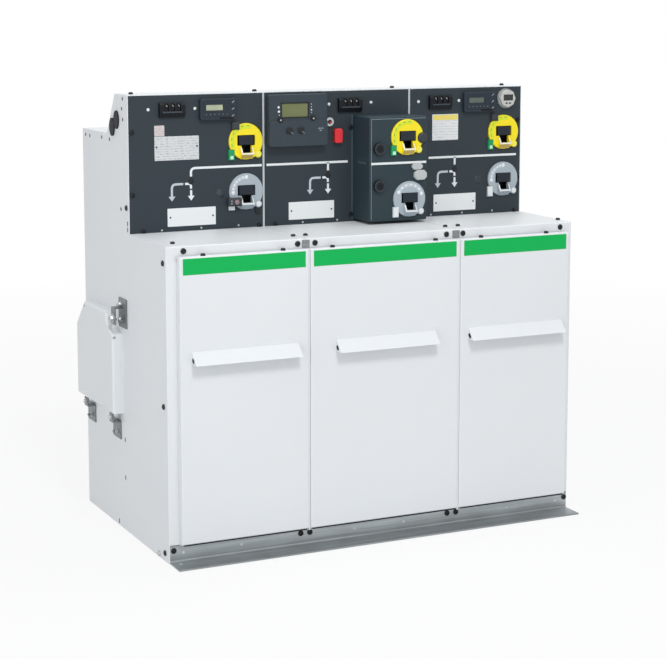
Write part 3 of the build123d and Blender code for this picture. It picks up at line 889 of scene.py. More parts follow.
CABINET_PAINT = PowderCoat("cabinet_paint_finish", (226, 229, 232), 0.45, 0.4)
DIVIDER_TRIM = PowderCoat("divider_trim_finish", (188, 194, 198), 0.4)
BAND_GREEN = PowderCoat("band_green_finish", (8, 176, 84), 0.42, 0.2, drift=0.025)
MIMIC_WHITE = PowderCoat("mimic_white_finish", (228, 232, 234), 0.45)
MIMIC_GREY = PowderCoat("mimic_grey_finish", (190, 197, 203), 0.45)
LABEL_WHITE = PowderCoat("label_white_finish", (230, 233, 234), 0.5, drift=0.015)
LABEL_YELLOW = PowderCoat("label_yellow_finish", (232, 214, 110), 0.5, drift=0.04)
PANEL_PAINT = StructurePaint("panel_paint_finish", (47, 56, 62), 0.5, 0.22)
MECHANISM_PAINT = StructurePaint("mechanism_paint_finish", (43, 57, 63), 0.5, 0.22)
# Pale slate for the painted highlights on the mechanism box's front edges, and for the relay's printed marks.
EDGE_HIGHLIGHT_AND_MARK = StructurePaint("edge_highlight_and_mark_finish", (124, 135, 140), 0.5, 0.3)
MECHANISM_FAINT = StructurePaint("mechanism_faint_finish", (62, 76, 84), 0.5, 0.3)
ZINC = GalvanisedZinc("zinc_finish", (168, 173, 176), 0.5)
BRACKET_ZINC = GalvanisedZinc("bracket_zinc_finish", (126, 130, 133), 0.42, cell_scale=160.0, contrast=0.56)
NUT_ZINC = GalvanisedZinc("nut_zinc_finish", (176, 179, 181), 0.4, cell_scale=200.0)
TANK_STEEL = GalvanisedZinc("tank_steel_finish", (150, 152, 154), 0.5, cell_scale=20.0)
BASE_ZINC = RolledZinc("base_zinc_finish", (184, 190, 193), 0.46)
LOCK_CHROME = BrightMetal("lock_chrome_finish", (178, 182, 186), 0.3)
SWITCH_YELLOW = Moulding("switch_yellow_finish", (246, 224, 20), 0.36, 0.4, coat=0.15)
EARTHING_GREY = Moulding("earthing_grey_finish", (166, 177, 185), 0.4, 0.4, coat=0.1)
BLACK_PLASTIC = Moulding("black_plastic_finish", (26, 28, 32), 0.45, 0.3)
SOCKET_PLASTIC = Moulding("socket_plastic_finish", (36, 42, 50), 0.55, 0.22)
KNOB_SLATE = Moulding("knob_slate_finish", (54, 58, 62), 0.5, 0.3)
RELAY_PLASTIC = Moulding("relay_plastic_finish", (54, 64, 71), 0.48, 0.22)
FAULT_PLASTIC = Moulding("fault_relay_finish", (41, 48, 57), 0.45, 0.22)
INDICATOR_PLASTIC = Moulding("indicator_finish", (17, 19, 24), 0.45, 0.2)
LIP_SLATE = Moulding("lip_slate_finish", (62, 70, 80), 0.5, 0.25)
TAB_GREEN = Moulding("tab_green_finish", (24, 150, 88), 0.4, 0.3)
TAB_WHITE = Moulding("tab_white_finish", (226, 230, 232), 0.38)
# Pale mint for the painted highlights on the green switch tabs.
TAB_HIGHLIGHT_MINT = Moulding("tab_highlight_mint_finish", (196, 232, 212), 0.4)
# Pale grey for the key interlock, small screws and key marks, and for the painted highlights on the relay's
# thumb screws and the indicators' lamps.
KEY_GREY = Moulding("key_grey_finish", (184, 188, 188), 0.42)
KEY_DIM = Moulding("key_dim_finish", (128, 134, 140), 0.45, 0.3)
KEY_ROSE = Moulding("key_rose_finish", (142, 122, 128), 0.42, 0.3)
GAUGE_PLASTIC = Moulding("gauge_plastic_finish", (190, 190, 185), 0.42)
BUTTON_RED = Moulding("button_red_finish", (222, 44, 52), 0.38, 0.35, coat=0.15)
# Dark rubber for the cable grommets, and for the strips of painted shadow under the panels' feet.
RUBBER_AND_SHADOW = Moulding("rubber_and_shadow_finish", (30, 34, 40), 0.62, 0.25)
SCREW_BLACK = Moulding("screw_black_finish", (22, 23, 26), 0.4, 0.35)
DARK_GLASS = Moulding("dark_glass_finish", (40, 44, 42), 0.2, 0.3, coat=0.3)
# Dark lenses, and the painted shade inside the side panels' holes and slots.
DARK_LENS_AND_HOLE_SHADE = Moulding("dark_lens_and_hole_shade_finish", (38, 47, 55), 0.25, 0.3, coat=0.25)
# Cream and pale for the painted highlights on the dial guides' edges; the pale one also colours the earthing
# lugs' bosses.
GUIDE_HIGHLIGHT_CREAM = Moulding("guide_highlight_cream_finish", (240, 236, 214), 0.35, coat=0.2)
GUIDE_HIGHLIGHT_AND_LUG_PALE = Moulding("guide_highlight_and_lug_pale_finish", (226, 229, 231), 0.35, coat=0.2)
# Amber: the switch dials' yellow darkened, as painted shade on the chins that face down and out.
CHIN_SHADE_AMBER = Moulding("chin_shade_amber_finish", (206, 176, 84), 0.4, coat=0.1)
LUG_LEMON = Moulding("lug_lemon_finish", (240, 234, 96), 0.36, coat=0.15)
MARK_GREEN = Moulding("mark_green_finish", (118, 164, 40), 0.45)
BAND_LIME = Moulding("band_lime_finish", (212, 224, 50), 0.4, 0.4)
BAND_PALE = Moulding("band_pale_finish", (190, 198, 204), 0.42, 0.4)
RELAY_DISPLAY = DisplayGlass("relay_display_finish", (108, 114, 70), 0.25, 0.3)
FAULT_DISPLAY = DisplayGlass("fault_display_finish", (172, 180, 150), 0.25, 0.3)
IDLE_DISPLAY = DisplayGlass("idle_display_finish", (86, 96, 90), 0.25, 0.3)
LABEL_RULED = RuledPlate("label_ruled_finish", (226, 228, 230), 0.5, ink_share=0.32)
RATING_PLATE = RuledPlate(
    "rating_plate_finish", (208, 211, 213), 0.38,
    ink_share=0.66, pitch=0.0066, line_share=0.44, run_scale=120.0, run_share=0.45,
)
SMALL_STICKER = RuledPlate(
    "small_sticker_finish", (214, 202, 204), 0.5, ink_share=0.5, pitch=0.0046, line_share=0.5, run_scale=150.0
)


def add_piece(name: str, surface: Surface, finish: Finish, body: str = "cabinet") -> None:
    """Put a surface into a mesh, dress it and make it ride on a body.

    Args:
        name: The piece's name.
        surface: Its shape, in millimetres from the cabinet's corner.
        finish: Its finish.
        body: The body that it moves with.
    """
    faces = surface.faces
    is_triangle = faces[:, 2] == faces[:, 3]
    kept = np.ones(faces.shape, bool)
    kept[:, 3] = ~is_triangle
    corners = faces[kept].astype(np.int32)
    starts = np.concatenate([[0], np.cumsum(np.where(is_triangle, 3, 4))[:-1]]).astype(np.int32)
    mesh = bpy.data.meshes.new(name)
    mesh.vertices.add(len(surface.points))
    mesh.vertices.foreach_set("co", (CORNER + MM * surface.points).astype(np.float32).ravel())
    mesh.loops.add(len(corners))
    mesh.loops.foreach_set("vertex_index", corners)
    mesh.polygons.add(len(faces))
    mesh.polygons.foreach_set("loop_start", starts)
    mesh.update(calc_edges=True)
    mesh.shade_smooth()
    mesh.set_sharp_from_angle(angle=SMOOTH_ANGLE)
    mesh.materials.append(finish.material())
    piece = bpy.data.objects.new(name, mesh)
    bpy.context.scene.collection.objects.link(piece)
    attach(piece, body)
    log.info("%s: %d faces on %s", name, len(faces), body)


def dress(finish: Finish, *nodes: str) -> None:
    """Give solid parts a finish.

    Args:
        finish: The finish.
        nodes: Names of the solid parts.
    """
    for node in nodes:
        for material_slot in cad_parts[node].material_slots:
            material_slot.material = finish.material()
        log.info("%s: %s", node, finish.name)


@dataclass
class CabinetShell:
    """Painted sheet metal: sides, rear, hood, ledges, and the screws, openings and seals in them.

    A screw is given by its radius and height, and a seal by its width and depth.
    """

    screw_size: Point = (7.5, 3.8)
    rim_screw_size: Point = (6.2, 5.8)
    hole_radius: float = 5.2
    slot_size: Point = (7.0, 13.0)
    slot_corner: float = 2.8
    opening_depth: float = 0.4
    band_screws: Numbers = (47, 359, 408, 794, 844, 1150)
    ledge_screws: Numbers = (38, 370, 405, 819, 858, 1176)
    ledge_screw_back: float = 52
    hood_screws: Numbers = (24, 374, 790, 1144)
    hood_screw_back: float = 40
    side_screws: Points = ((19, 769), (25, 403), (28, 22), (289, 879))
    side_bolts: Points = ((71, 9),)
    side_holes: Points = (
        (309, 1163), (316, 1137), (309, 1109), (589, 1048), (625, 1049), (485, 1051), (420, 1050), (334, 872),
    )
    side_slots: Points = ((329, 250), (330, 146), (388, 11), (283, 838), (283, 822))
    rear_screw_inset: float = 16
    rear_screw_rows: int = 5
    rear_screw_columns: int = 6
    seal_size: Point = (3.8, 17.0)
    seal_setback: float = 2.2
    edge_seal_size: Point = (4.0, 6.2)
    edge_seal_inset: float = 3.0
    ridge_count: int = 5
    ridge_pitch: float = 3.8
    ridge_width: float = 2.0
    ridge_reach: float = 2.2
    ridge_gap: float = 1.0

    def dress_sheets(self) -> None:
        """Paint the sheets and give the tank its bare steel."""
        dress(CABINET_PAINT, "left_side_panel", "right_side_panel", "rear_panel", "rear_top_cover")
        dress(CABINET_PAINT, "control_box_hood", *each_cubicle("ledge_plate"), "cubicle_partitions")
        dress(ZINC, "rear_base_angle")
        dress(BRACKET_ZINC, "joint_straps")
        dress(TANK_STEEL, "tank")

    def add_front_screws(self) -> None:
        """Set the screws of the ledges' bands and tops and of the hood's front edge."""
        low, high = node_box("ledge_plate_left")
        hood_low, hood_high = node_box("control_box_hood")
        band_height = (node_box("access_panel_left")[1][2] + high[2]) / 2
        hood_back = hood_low[1] + self.hood_screw_back
        flat, tall = screw_head(*self.screw_size), screw_head(*self.rim_screw_size)
        band = flat.spread(Facing.FRONT, [(x, low[1], band_height) for x in self.band_screws])
        ledge = tall.spread(Facing.TOP, [(x, self.ledge_screw_back, high[2]) for x in self.ledge_screws])
        hood = tall.spread(Facing.TOP, [(x, hood_back, hood_high[2]) for x in self.hood_screws])
        add_piece("ledge_band_screws", band, SCREW_BLACK)
        add_piece("ledge_top_screws", ledge, SCREW_BLACK)
        add_piece("hood_screws", hood, SCREW_BLACK)

    def add_side_fittings(self) -> None:
        """Set the screws, bolts, small holes and slots of both sides; the right has the screws alone."""
        head = screw_head(*self.screw_size)
        right = node_box("right_side_panel")[1][0]
        left_screws = head.spread(Facing.LEFT, on_side(0, self.side_screws))
        right_screws = head.spread(Facing.RIGHT, on_side(right, self.side_screws))
        bolts = hex_bolt(*self.screw_size).spread(Facing.LEFT, on_side(0, self.side_bolts))
        # Dark plates paint the shade inside the small holes and slots.
        hole = plate(round_outline(self.hole_radius), self.opening_depth)
        slot = plate(rounded_outline(*self.slot_size, self.slot_corner), self.opening_depth)
        holes = hole.spread(Facing.LEFT, on_side(0, self.side_holes))
        slots = slot.spread(Facing.LEFT, on_side(0, self.side_slots))
        add_piece("side_screws", joined([left_screws, right_screws]), SCREW_BLACK)
        add_piece("side_bolts", bolts, NUT_ZINC)
        add_piece("side_openings", joined([holes, slots]), DARK_LENS_AND_HOLE_SHADE)

    def add_rear_screws(self) -> None:
        """Set screws round the edge of the rear panel, in even steps."""
        low, high = node_box("rear_panel")
        inset = self.rear_screw_inset
        columns = np.linspace(low[0] + inset, high[0] - inset, self.rear_screw_columns)
        rows = np.linspace(low[2] + inset, high[2] - inset, self.rear_screw_rows)
        places = [(x, high[1], z) for x in columns for z in rows[[0, -1]]]
        places += [(x, high[1], z) for x in columns[[0, -1]] for z in rows[1:-1]]
        screws = screw_head(*self.screw_size).spread(Facing.REAR, places)
        add_piece("rear_screws", screws, SCREW_BLACK)

    def add_joint_seals(self) -> None:
        """Set a pale seal strip in each joint between two lift-off panels, and behind their outer edges."""
        low, high = node_box("access_panel_left")
        right = node_box("access_panel_right")[1][0]
        foot = node_box("front_base_angle")[1][2]
        ledge_foot = node_box("ledge_plate_left")[0][2]
        joint_back = low[1] + self.seal_setback + self.seal_size[1] / 2
        edge_back = -self.edge_seal_size[1] / 2
        edges = (low[0] + self.edge_seal_inset, right - self.edge_seal_inset)
        strips = [(joint, joint_back, high[2], self.seal_size) for joint in cubicle_joints()]
        strips += [(edge, edge_back, ledge_foot, self.edge_seal_size) for edge in edges]
        seals = joined(bar((x, y, foot), (x, y, top), (1, 0, 0), *size) for x, y, top, size in strips)
        add_piece("joint_seals", seals, CABINET_PAINT)

    def add_strap_ridges(self) -> None:
        """Set upright ridges on the lower half of each joint strap, at an even pitch."""
        low, high = node_box("joint_straps")
        ends = [(0, low[2] + self.ridge_gap), (0, (low[2] + high[2]) / 2)]
        ridge = ribbon(ends, self.ridge_width, self.ridge_reach)
        steps = (np.arange(self.ridge_count) - (self.ridge_count - 1) / 2) * self.ridge_pitch
        ridges = ridge.dotted((joint + step, 0) for joint in cubicle_joints() for step in steps)
        add_piece("strap_ridges", ridges.placed(Facing.FRONT, (0, low[1], 0)), NUT_ZINC)

    def build(self) -> None:
        """Dress the sheets and set everything on them."""
        self.dress_sheets()
        self.add_front_screws()
        self.add_side_fittings()
        self.add_rear_screws()
        self.add_joint_seals()
        self.add_strap_ridges()


@dataclass
class CablePanel:
    """A cubicle's lift-off panel, with a plain green band, two top screws, a dark strip of painted shadow
    under its foot, and a handle.
    """

    cubicle: str
    band_height: float = 41.0
    band_top_gap: float = 4.0
    band_side_gap: float = 9.0
    band_thickness: float = 0.5
    band_corner: float = 0.8
    screw_size: Point = (6.4, 6.2)
    screw_back: float = 11.0
    screw_inset: float = 67.0
    foot_gap: float = 5.0
    shadow_strip_inset: float = 6.0
    shadow_strip_height: float = 3.4
    seal_setback: float = 1.6
    shadow_strip_depth: float = 9.0
    slot_size: Point = (14.6, 9.6)
    slot_corner: float = 4.6
    slot_share: float = 1 / 3
    slot_reach: float = 0.9
    slot_turn: float = 45.0

    def add(self, stem: str, surface: Surface, finish: Finish, slot: str = "") -> None:
        """Add a piece that moves with the panel."""
        add_piece(f"{stem}_{self.cubicle}", surface, finish, f"{self.cubicle}_panel")

    def handle_slots(self) -> Surface:
        """Work out the dark plates that fill the slots of the handle's end cheeks, square to the handle's
        slope.

        Returns:
            Both plates, at a share of the handle's depth from its back and from its foot.
        """
        low, high = node_box(f"panel_handle_{self.cubicle}")
        rise = self.slot_share * (high[1] - low[1])
        cap = plate(rounded_outline(*self.slot_size, self.slot_corner), self.slot_reach)
        ends = ((-self.slot_turn, Facing.LEFT, low[0]), (self.slot_turn, Facing.RIGHT, high[0]))
        return joined(
            cap.turned_by(turn).placed(facing, (x, high[1] - rise, low[2] + rise)) for turn, facing, x in ends
        )

    def build(self) -> None:
        """Dress the panel and its handle, and set what it carries."""
        dress(CABINET_PAINT, f"access_panel_{self.cubicle}", f"panel_handle_{self.cubicle}")
        low, high = node_box(f"access_panel_{self.cubicle}")
        band_width = high[0] - low[0] - 2 * self.band_side_gap
        band = plate(rounded_outline(band_width, self.band_height, self.band_corner), self.band_thickness)
        band_middle = high[2] - self.band_top_gap - self.band_height / 2
        middle = ((low[0] + high[0]) / 2, low[1], band_middle)
        self.add("green_band", band.placed(Facing.FRONT, middle), BAND_GREEN)
        places = (low[0] + self.screw_inset, high[0] - self.screw_inset)
        screws = screw_head(*self.screw_size).spread(
            Facing.TOP, [(x, low[1] + self.screw_back, high[2]) for x in places]
        )
        self.add("panel_top_screws", screws, SCREW_BLACK, "black_plastic")
        # A dark strip in the gap under the panel's foot paints the shadow that the panel casts on the base
        # angle.
        back = low[1] + self.seal_setback + self.shadow_strip_depth / 2
        level = node_box("front_base_angle")[1][2] + self.foot_gap - self.shadow_strip_height / 2
        ends = [(x, back, level) for x in (low[0] + self.shadow_strip_inset, high[0] - self.shadow_strip_inset)]
        self.add("foot_shadow_strip", bar(*ends, (0, 1, 0), self.shadow_strip_depth, self.shadow_strip_height), RUBBER_AND_SHADOW)
        self.add("handle_slots", self.handle_slots(), INDICATOR_PLASTIC, "black_plastic")


@dataclass
class MimicDiagram:
    """The one-line diagram painted on the control panels, its heights counted up from the ledge."""

    ledge: float
    line_width: float = 6.4
    arrow_width: float = 19.0
    arrow_height: float = 13.0
    thickness: float = 0.4
    bend: float = 12.0
    bus_height: float = 166.0
    bus_drop: float = 22.0
    spot_height: float = 131.0
    spot_radius: float = 8.6
    spot_thickness: float = 0.64
    branch_height: float = 125.0
    branch_reach: float = 54.0
    arrow_tip: float = 80.0
    gap: float = 17.0
    side_gap: float = 5.0
    knee_inset: float = 1.0
    knee_rise: float = 4.0
    knee_bend_share: float = 0.5

    @property
    def bus_level(self) -> float:
        """Return the height of the bus line."""
        return self.ledge + self.bus_height

    def line(self, *corners: Point, bend_share: float = 1.0) -> Surface:
        """Return a painted line with rounded corners."""
        return ribbon(rounded_path(corners, bend_share * self.bend), self.line_width, self.thickness)

    def bus_line(self, branch: float, span: Point) -> List[Surface]:
        """Return the bus line with the short drop to the switch symbol.

        Args:
            branch: Place of the drop across the panels.
            span: Left and right end of the line.

        Returns:
            The painted lines; where the drop stands at the line's left end, one bent line.
        """
        start, stop = span
        head, end = (branch, self.bus_level), (stop, self.bus_level)
        foot = (branch, self.bus_level - self.bus_drop)
        if start >= branch:
            return [self.line(foot, head, end)]
        return [self.line((start, self.bus_level), end), self.line(foot, head)]

    def switch_symbol(self, branch: float) -> Tuple[List[Surface], List[Surface]]:
        """Return the two-way switch symbol under a drop.

        Args:
            branch: Place of the symbol across the panels.

        Returns:
            The white lines and arrow on the straight way, and the greyer ones on the side way.
        """
        wide, high = self.arrow_width / 2, self.arrow_height / 2
        arrow = plate(np.array([(0, -high), (wide, high), (-wide, high)]), self.thickness)
        tip = self.ledge + self.arrow_tip
        shoulder = tip + self.arrow_height
        level = self.ledge + self.branch_height
        side = branch - self.branch_reach
        break_x, break_z = branch - self.gap, level - self.gap
        knee = ((break_x, level), (branch - self.knee_inset, level), (branch, break_z + self.knee_rise))
        straight = [
            self.line((branch, shoulder), (branch, break_z)),
            arrow.moved(branch, tip + high),
            self.line(*knee, bend_share=self.knee_bend_share),
        ]
        way = self.line((side, shoulder), (side, level), (break_x - self.side_gap, level))
        return straight, [way, arrow.moved(side, tip + high)]

    def spot(self, branch: float) -> Surface:
        """Return the black spot where the ways meet."""
        spot = plate(round_outline(self.spot_radius), self.spot_thickness)
        return spot.moved(branch, self.ledge + self.spot_height)


@dataclass
class ControlPanels:
    """The dark control panels with their diagram, blank plates, lenses and screws.

    Spots are across and up the panels' face. A plate is given by its lower left corner, its size and its
    thickness, a line by its width and thickness, and a screw by its radius and height.
    """

    branches: Numbers = (174.0, 574.0, 970.0)
    bus_spans: Points = ((174.0, 377.0), (391.0, 634.0), (886.0, 1171.0))
    front_line_gaps: Point = (5.0, 2.5)
    side_line_gaps: Point = (30.0, 20.0)
    highlight_line: Point = (1.8, 0.3)
    line_inset: float = 5.5
    root_thickness: float = 0.8
    label_middles: Numbers = (175.0, 524.0, 970.5)
    label_size: Point = (136.0, 48.0)
    label_foot: float = 13.5
    label_thickness: float = 1.0
    label_rivet_inset: float = 8.0
    plate_corner: float = 1.2
    rivet_size: Point = (2.6, 1.0)
    rating_plate: PanelPlate = ((73.0, 1001.0), (124.0, 63.0), 1.0)
    rating_rivet_inset: float = 5.6
    rating_rivet_share: float = 0.56
    sticker: PanelPlate = ((73.0, 1065.0), (28.0, 28.0), 0.5)
    notice: PanelPlate = ((897.0, 1026.0), (83.0, 73.0), 0.5)
    notice_header: PanelPlate = ((899.0, 1083.0), (79.0, 14.0), 0.8)
    bright_screw_size: Point = (4.4, 2.4)
    bright_screws: Points = (
        (57, 1135), (187, 1135), (577, 1136), (705, 1138), (853, 1136), (982, 1136),
    )
    small_screw_size: Point = (2.8, 1.5)
    small_screws: Points = (
        (91, 817), (202, 818), (309, 819), (498, 817), (602, 818), (895, 817), (995, 818), (1094, 819),
    )
    rim_screw_size: Point = (6.4, 5.0)
    rim_screws: Points = (
        (11, 1077), (11, 913), (1176, 1077), (1176, 913), (40, 816), (369, 816), (416, 816), (1166, 816),
        (642.5, 1072), (642.5, 832),
    )
    lens_size: Point = (12.0, 2.2)
    lens_spots: Points = ((257.0, 906.0), (1048.0, 910.0))
    catch_middle: Point = (364.0, 856.0)
    catch_size: Point = (12.0, 15.0)
    catch_corner: float = 2.0
    catch_reach: float = 6.0
    catch_ease: float = 1.0

    def add(self, name: str, surface: Surface, finish: Finish, slot: str = "") -> None:
        """Add a piece that lies on the panels' face."""
        face = node_box("control_panel_left")[0][1]
        add_piece(name, surface.placed(Facing.FRONT, (0, face, 0)), finish)

    def dress_panels(self) -> None:
        """Paint the panels, the mechanism box and the dividers."""
        dress(PANEL_PAINT, *each_cubicle("control_panel"))
        dress(MECHANISM_PAINT, "mechanism_box")
        dress(DIVIDER_TRIM, "panel_dividers")

    def add_diagram(self, ledge: float) -> None:
        """Paint the one-line diagram on the panels, and across the mechanism box's front and left side.

        Args:
            ledge: Height of the ledge.
        """
        diagram = MimicDiagram(ledge)
        white: List[Surface] = []
        grey: List[Surface] = []
        for branch, span in zip(self.branches, self.bus_spans):
            straight, sideways = diagram.switch_symbol(branch)
            white += diagram.bus_line(branch, span) + straight
            grey += sideways
        self.add("diagram_lines", joined(white), MIMIC_WHITE, "divider_trim")
        self.add("diagram_side_ways", joined(grey), MIMIC_GREY, "divider_trim")
        self.add("diagram_spots", joined(map(diagram.spot, self.branches)), BLACK_PLASTIC, "black_plastic")
        low, high = node_box("mechanism_box")
        level = diagram.bus_level
        left, right = low[0] + self.front_line_gaps[0], high[0] - self.front_line_gaps[1]
        front_line = diagram.line((left, level), (right, level)).placed(Facing.FRONT, (0, low[1], 0))
        rear, near = self.side_line_gaps[0] - high[1], -low[1] - self.side_line_gaps[1]
        side_line = diagram.line((rear, level), (near, level)).placed(Facing.LEFT, (low[0], 0, 0))
        add_piece("diagram_mechanism_line", front_line, MIMIC_WHITE)
        add_piece("diagram_mechanism_side_line", side_line, MECHANISM_FAINT)

    def add_mechanism_highlights_and_root(self) -> None:
        """Lay thin paler lines of painted highlight along the mechanism box's front edges, and a line where
        its flange meets the panel.
        """
        low, high = node_box("mechanism_box")
        inset = self.line_inset
        left, right = low[0] + inset, high[0] - inset
        foot, top = low[2] + inset, high[2] - inset
        # Painted highlights: pale lines along the box's left and top front edges.
        edges = ribbon([(left, foot), (left, top), (right, top)], *self.highlight_line)
        root_x = low[0] - inset / 2
        root = ribbon([(root_x, low[2]), (root_x, high[2])], inset, self.root_thickness)
        edges, root = edges.placed(Facing.FRONT, (0, low[1], 0)), root.placed(Facing.FRONT, (0, high[1], 0))
        add_piece("mechanism_edge_highlights", edges, EDGE_HIGHLIGHT_AND_MARK)
        add_piece("mechanism_root_line", root, MECHANISM_FAINT)

    def corner_plate(self, corner: Point, size: Point, thickness: float) -> Surface:
        """Return a plate given by its lower left corner and size on the panels' face."""
        middle = np.array(corner) + np.array(size) / 2
        return tile(size, self.plate_corner, thickness).moved(*middle)

    def add_plates(self, ledge: float) -> None:
        """Set the blank name plates, the ruled rating plate, the sticker and the notice.

        Args:
            ledge: Height of the ledge.
        """
        half_width, foot = self.label_size[0] / 2, ledge + self.label_foot
        labels: List[Surface] = []
        rivets: List[Point] = []
        for middle in self.label_middles:
            corner = (middle - half_width, foot)
            labels.append(self.corner_plate(corner, self.label_size, self.label_thickness))
            for side in SIDES:
                across = middle + side * (half_width - self.label_rivet_inset)
                rivets.append((across, foot + self.label_size[1] / 2))
        (left, low), (width, height), _ = self.rating_plate
        for across in (self.rating_rivet_inset, width - self.rating_rivet_inset):
            rivets.append((left + across, low + height * self.rating_rivet_share))
        rivet = dome(*self.rivet_size).moved(0, 0, self.label_thickness)
        self.add("name_plates", joined(labels), LABEL_WHITE)
        self.add("plate_rivets", rivet.dotted(rivets), RELAY_PLASTIC)
        for name, spec, finish in (
            ("rating_plate", self.rating_plate, RATING_PLATE),
            ("small_sticker", self.sticker, SMALL_STICKER),
            ("blank_notice", self.notice, LABEL_RULED),
            ("blank_notice_header", self.notice_header, LABEL_YELLOW),
        ):
            self.add(name, self.corner_plate(*spec), finish)

    def add_screws(self) -> None:
        """Set the panels' screws, the two lenses and the small catch."""
        bright, small = dome(*self.bright_screw_size), dome(*self.small_screw_size)
        rim, lens = screw_head(*self.rim_screw_size), dome(*self.lens_size, LARGE_ROUND)
        catch = plate(rounded_outline(*self.catch_size, self.catch_corner), self.catch_reach, self.catch_ease)
        self.add("bright_panel_screws", bright.dotted(self.bright_screws), TAB_WHITE)
        self.add("small_panel_screws", small.dotted(self.small_screws), KEY_GREY)
        self.add("rim_panel_screws", rim.dotted(self.rim_screws), SCREW_BLACK, "black_plastic")
        self.add("blank_lenses", lens.dotted(self.lens_spots), DARK_LENS_AND_HOLE_SHADE)
        self.add("panel_catch", catch.moved(*self.catch_middle), SCREW_BLACK)

    def build(self) -> None:
        """Dress the panels and set everything on them."""
        ledge = node_box("control_panel_left")[0][2]
        self.dress_panels()
        self.add_diagram(ledge)
        self.add_mechanism_highlights_and_root()
        self.add_plates(ledge)
        self.add_screws()


class Lever(Enum):
    """The two levers of a cubicle, by the name of their dials."""

    SWITCH = "switch_dial"
    EARTHING = "earthing_dial"


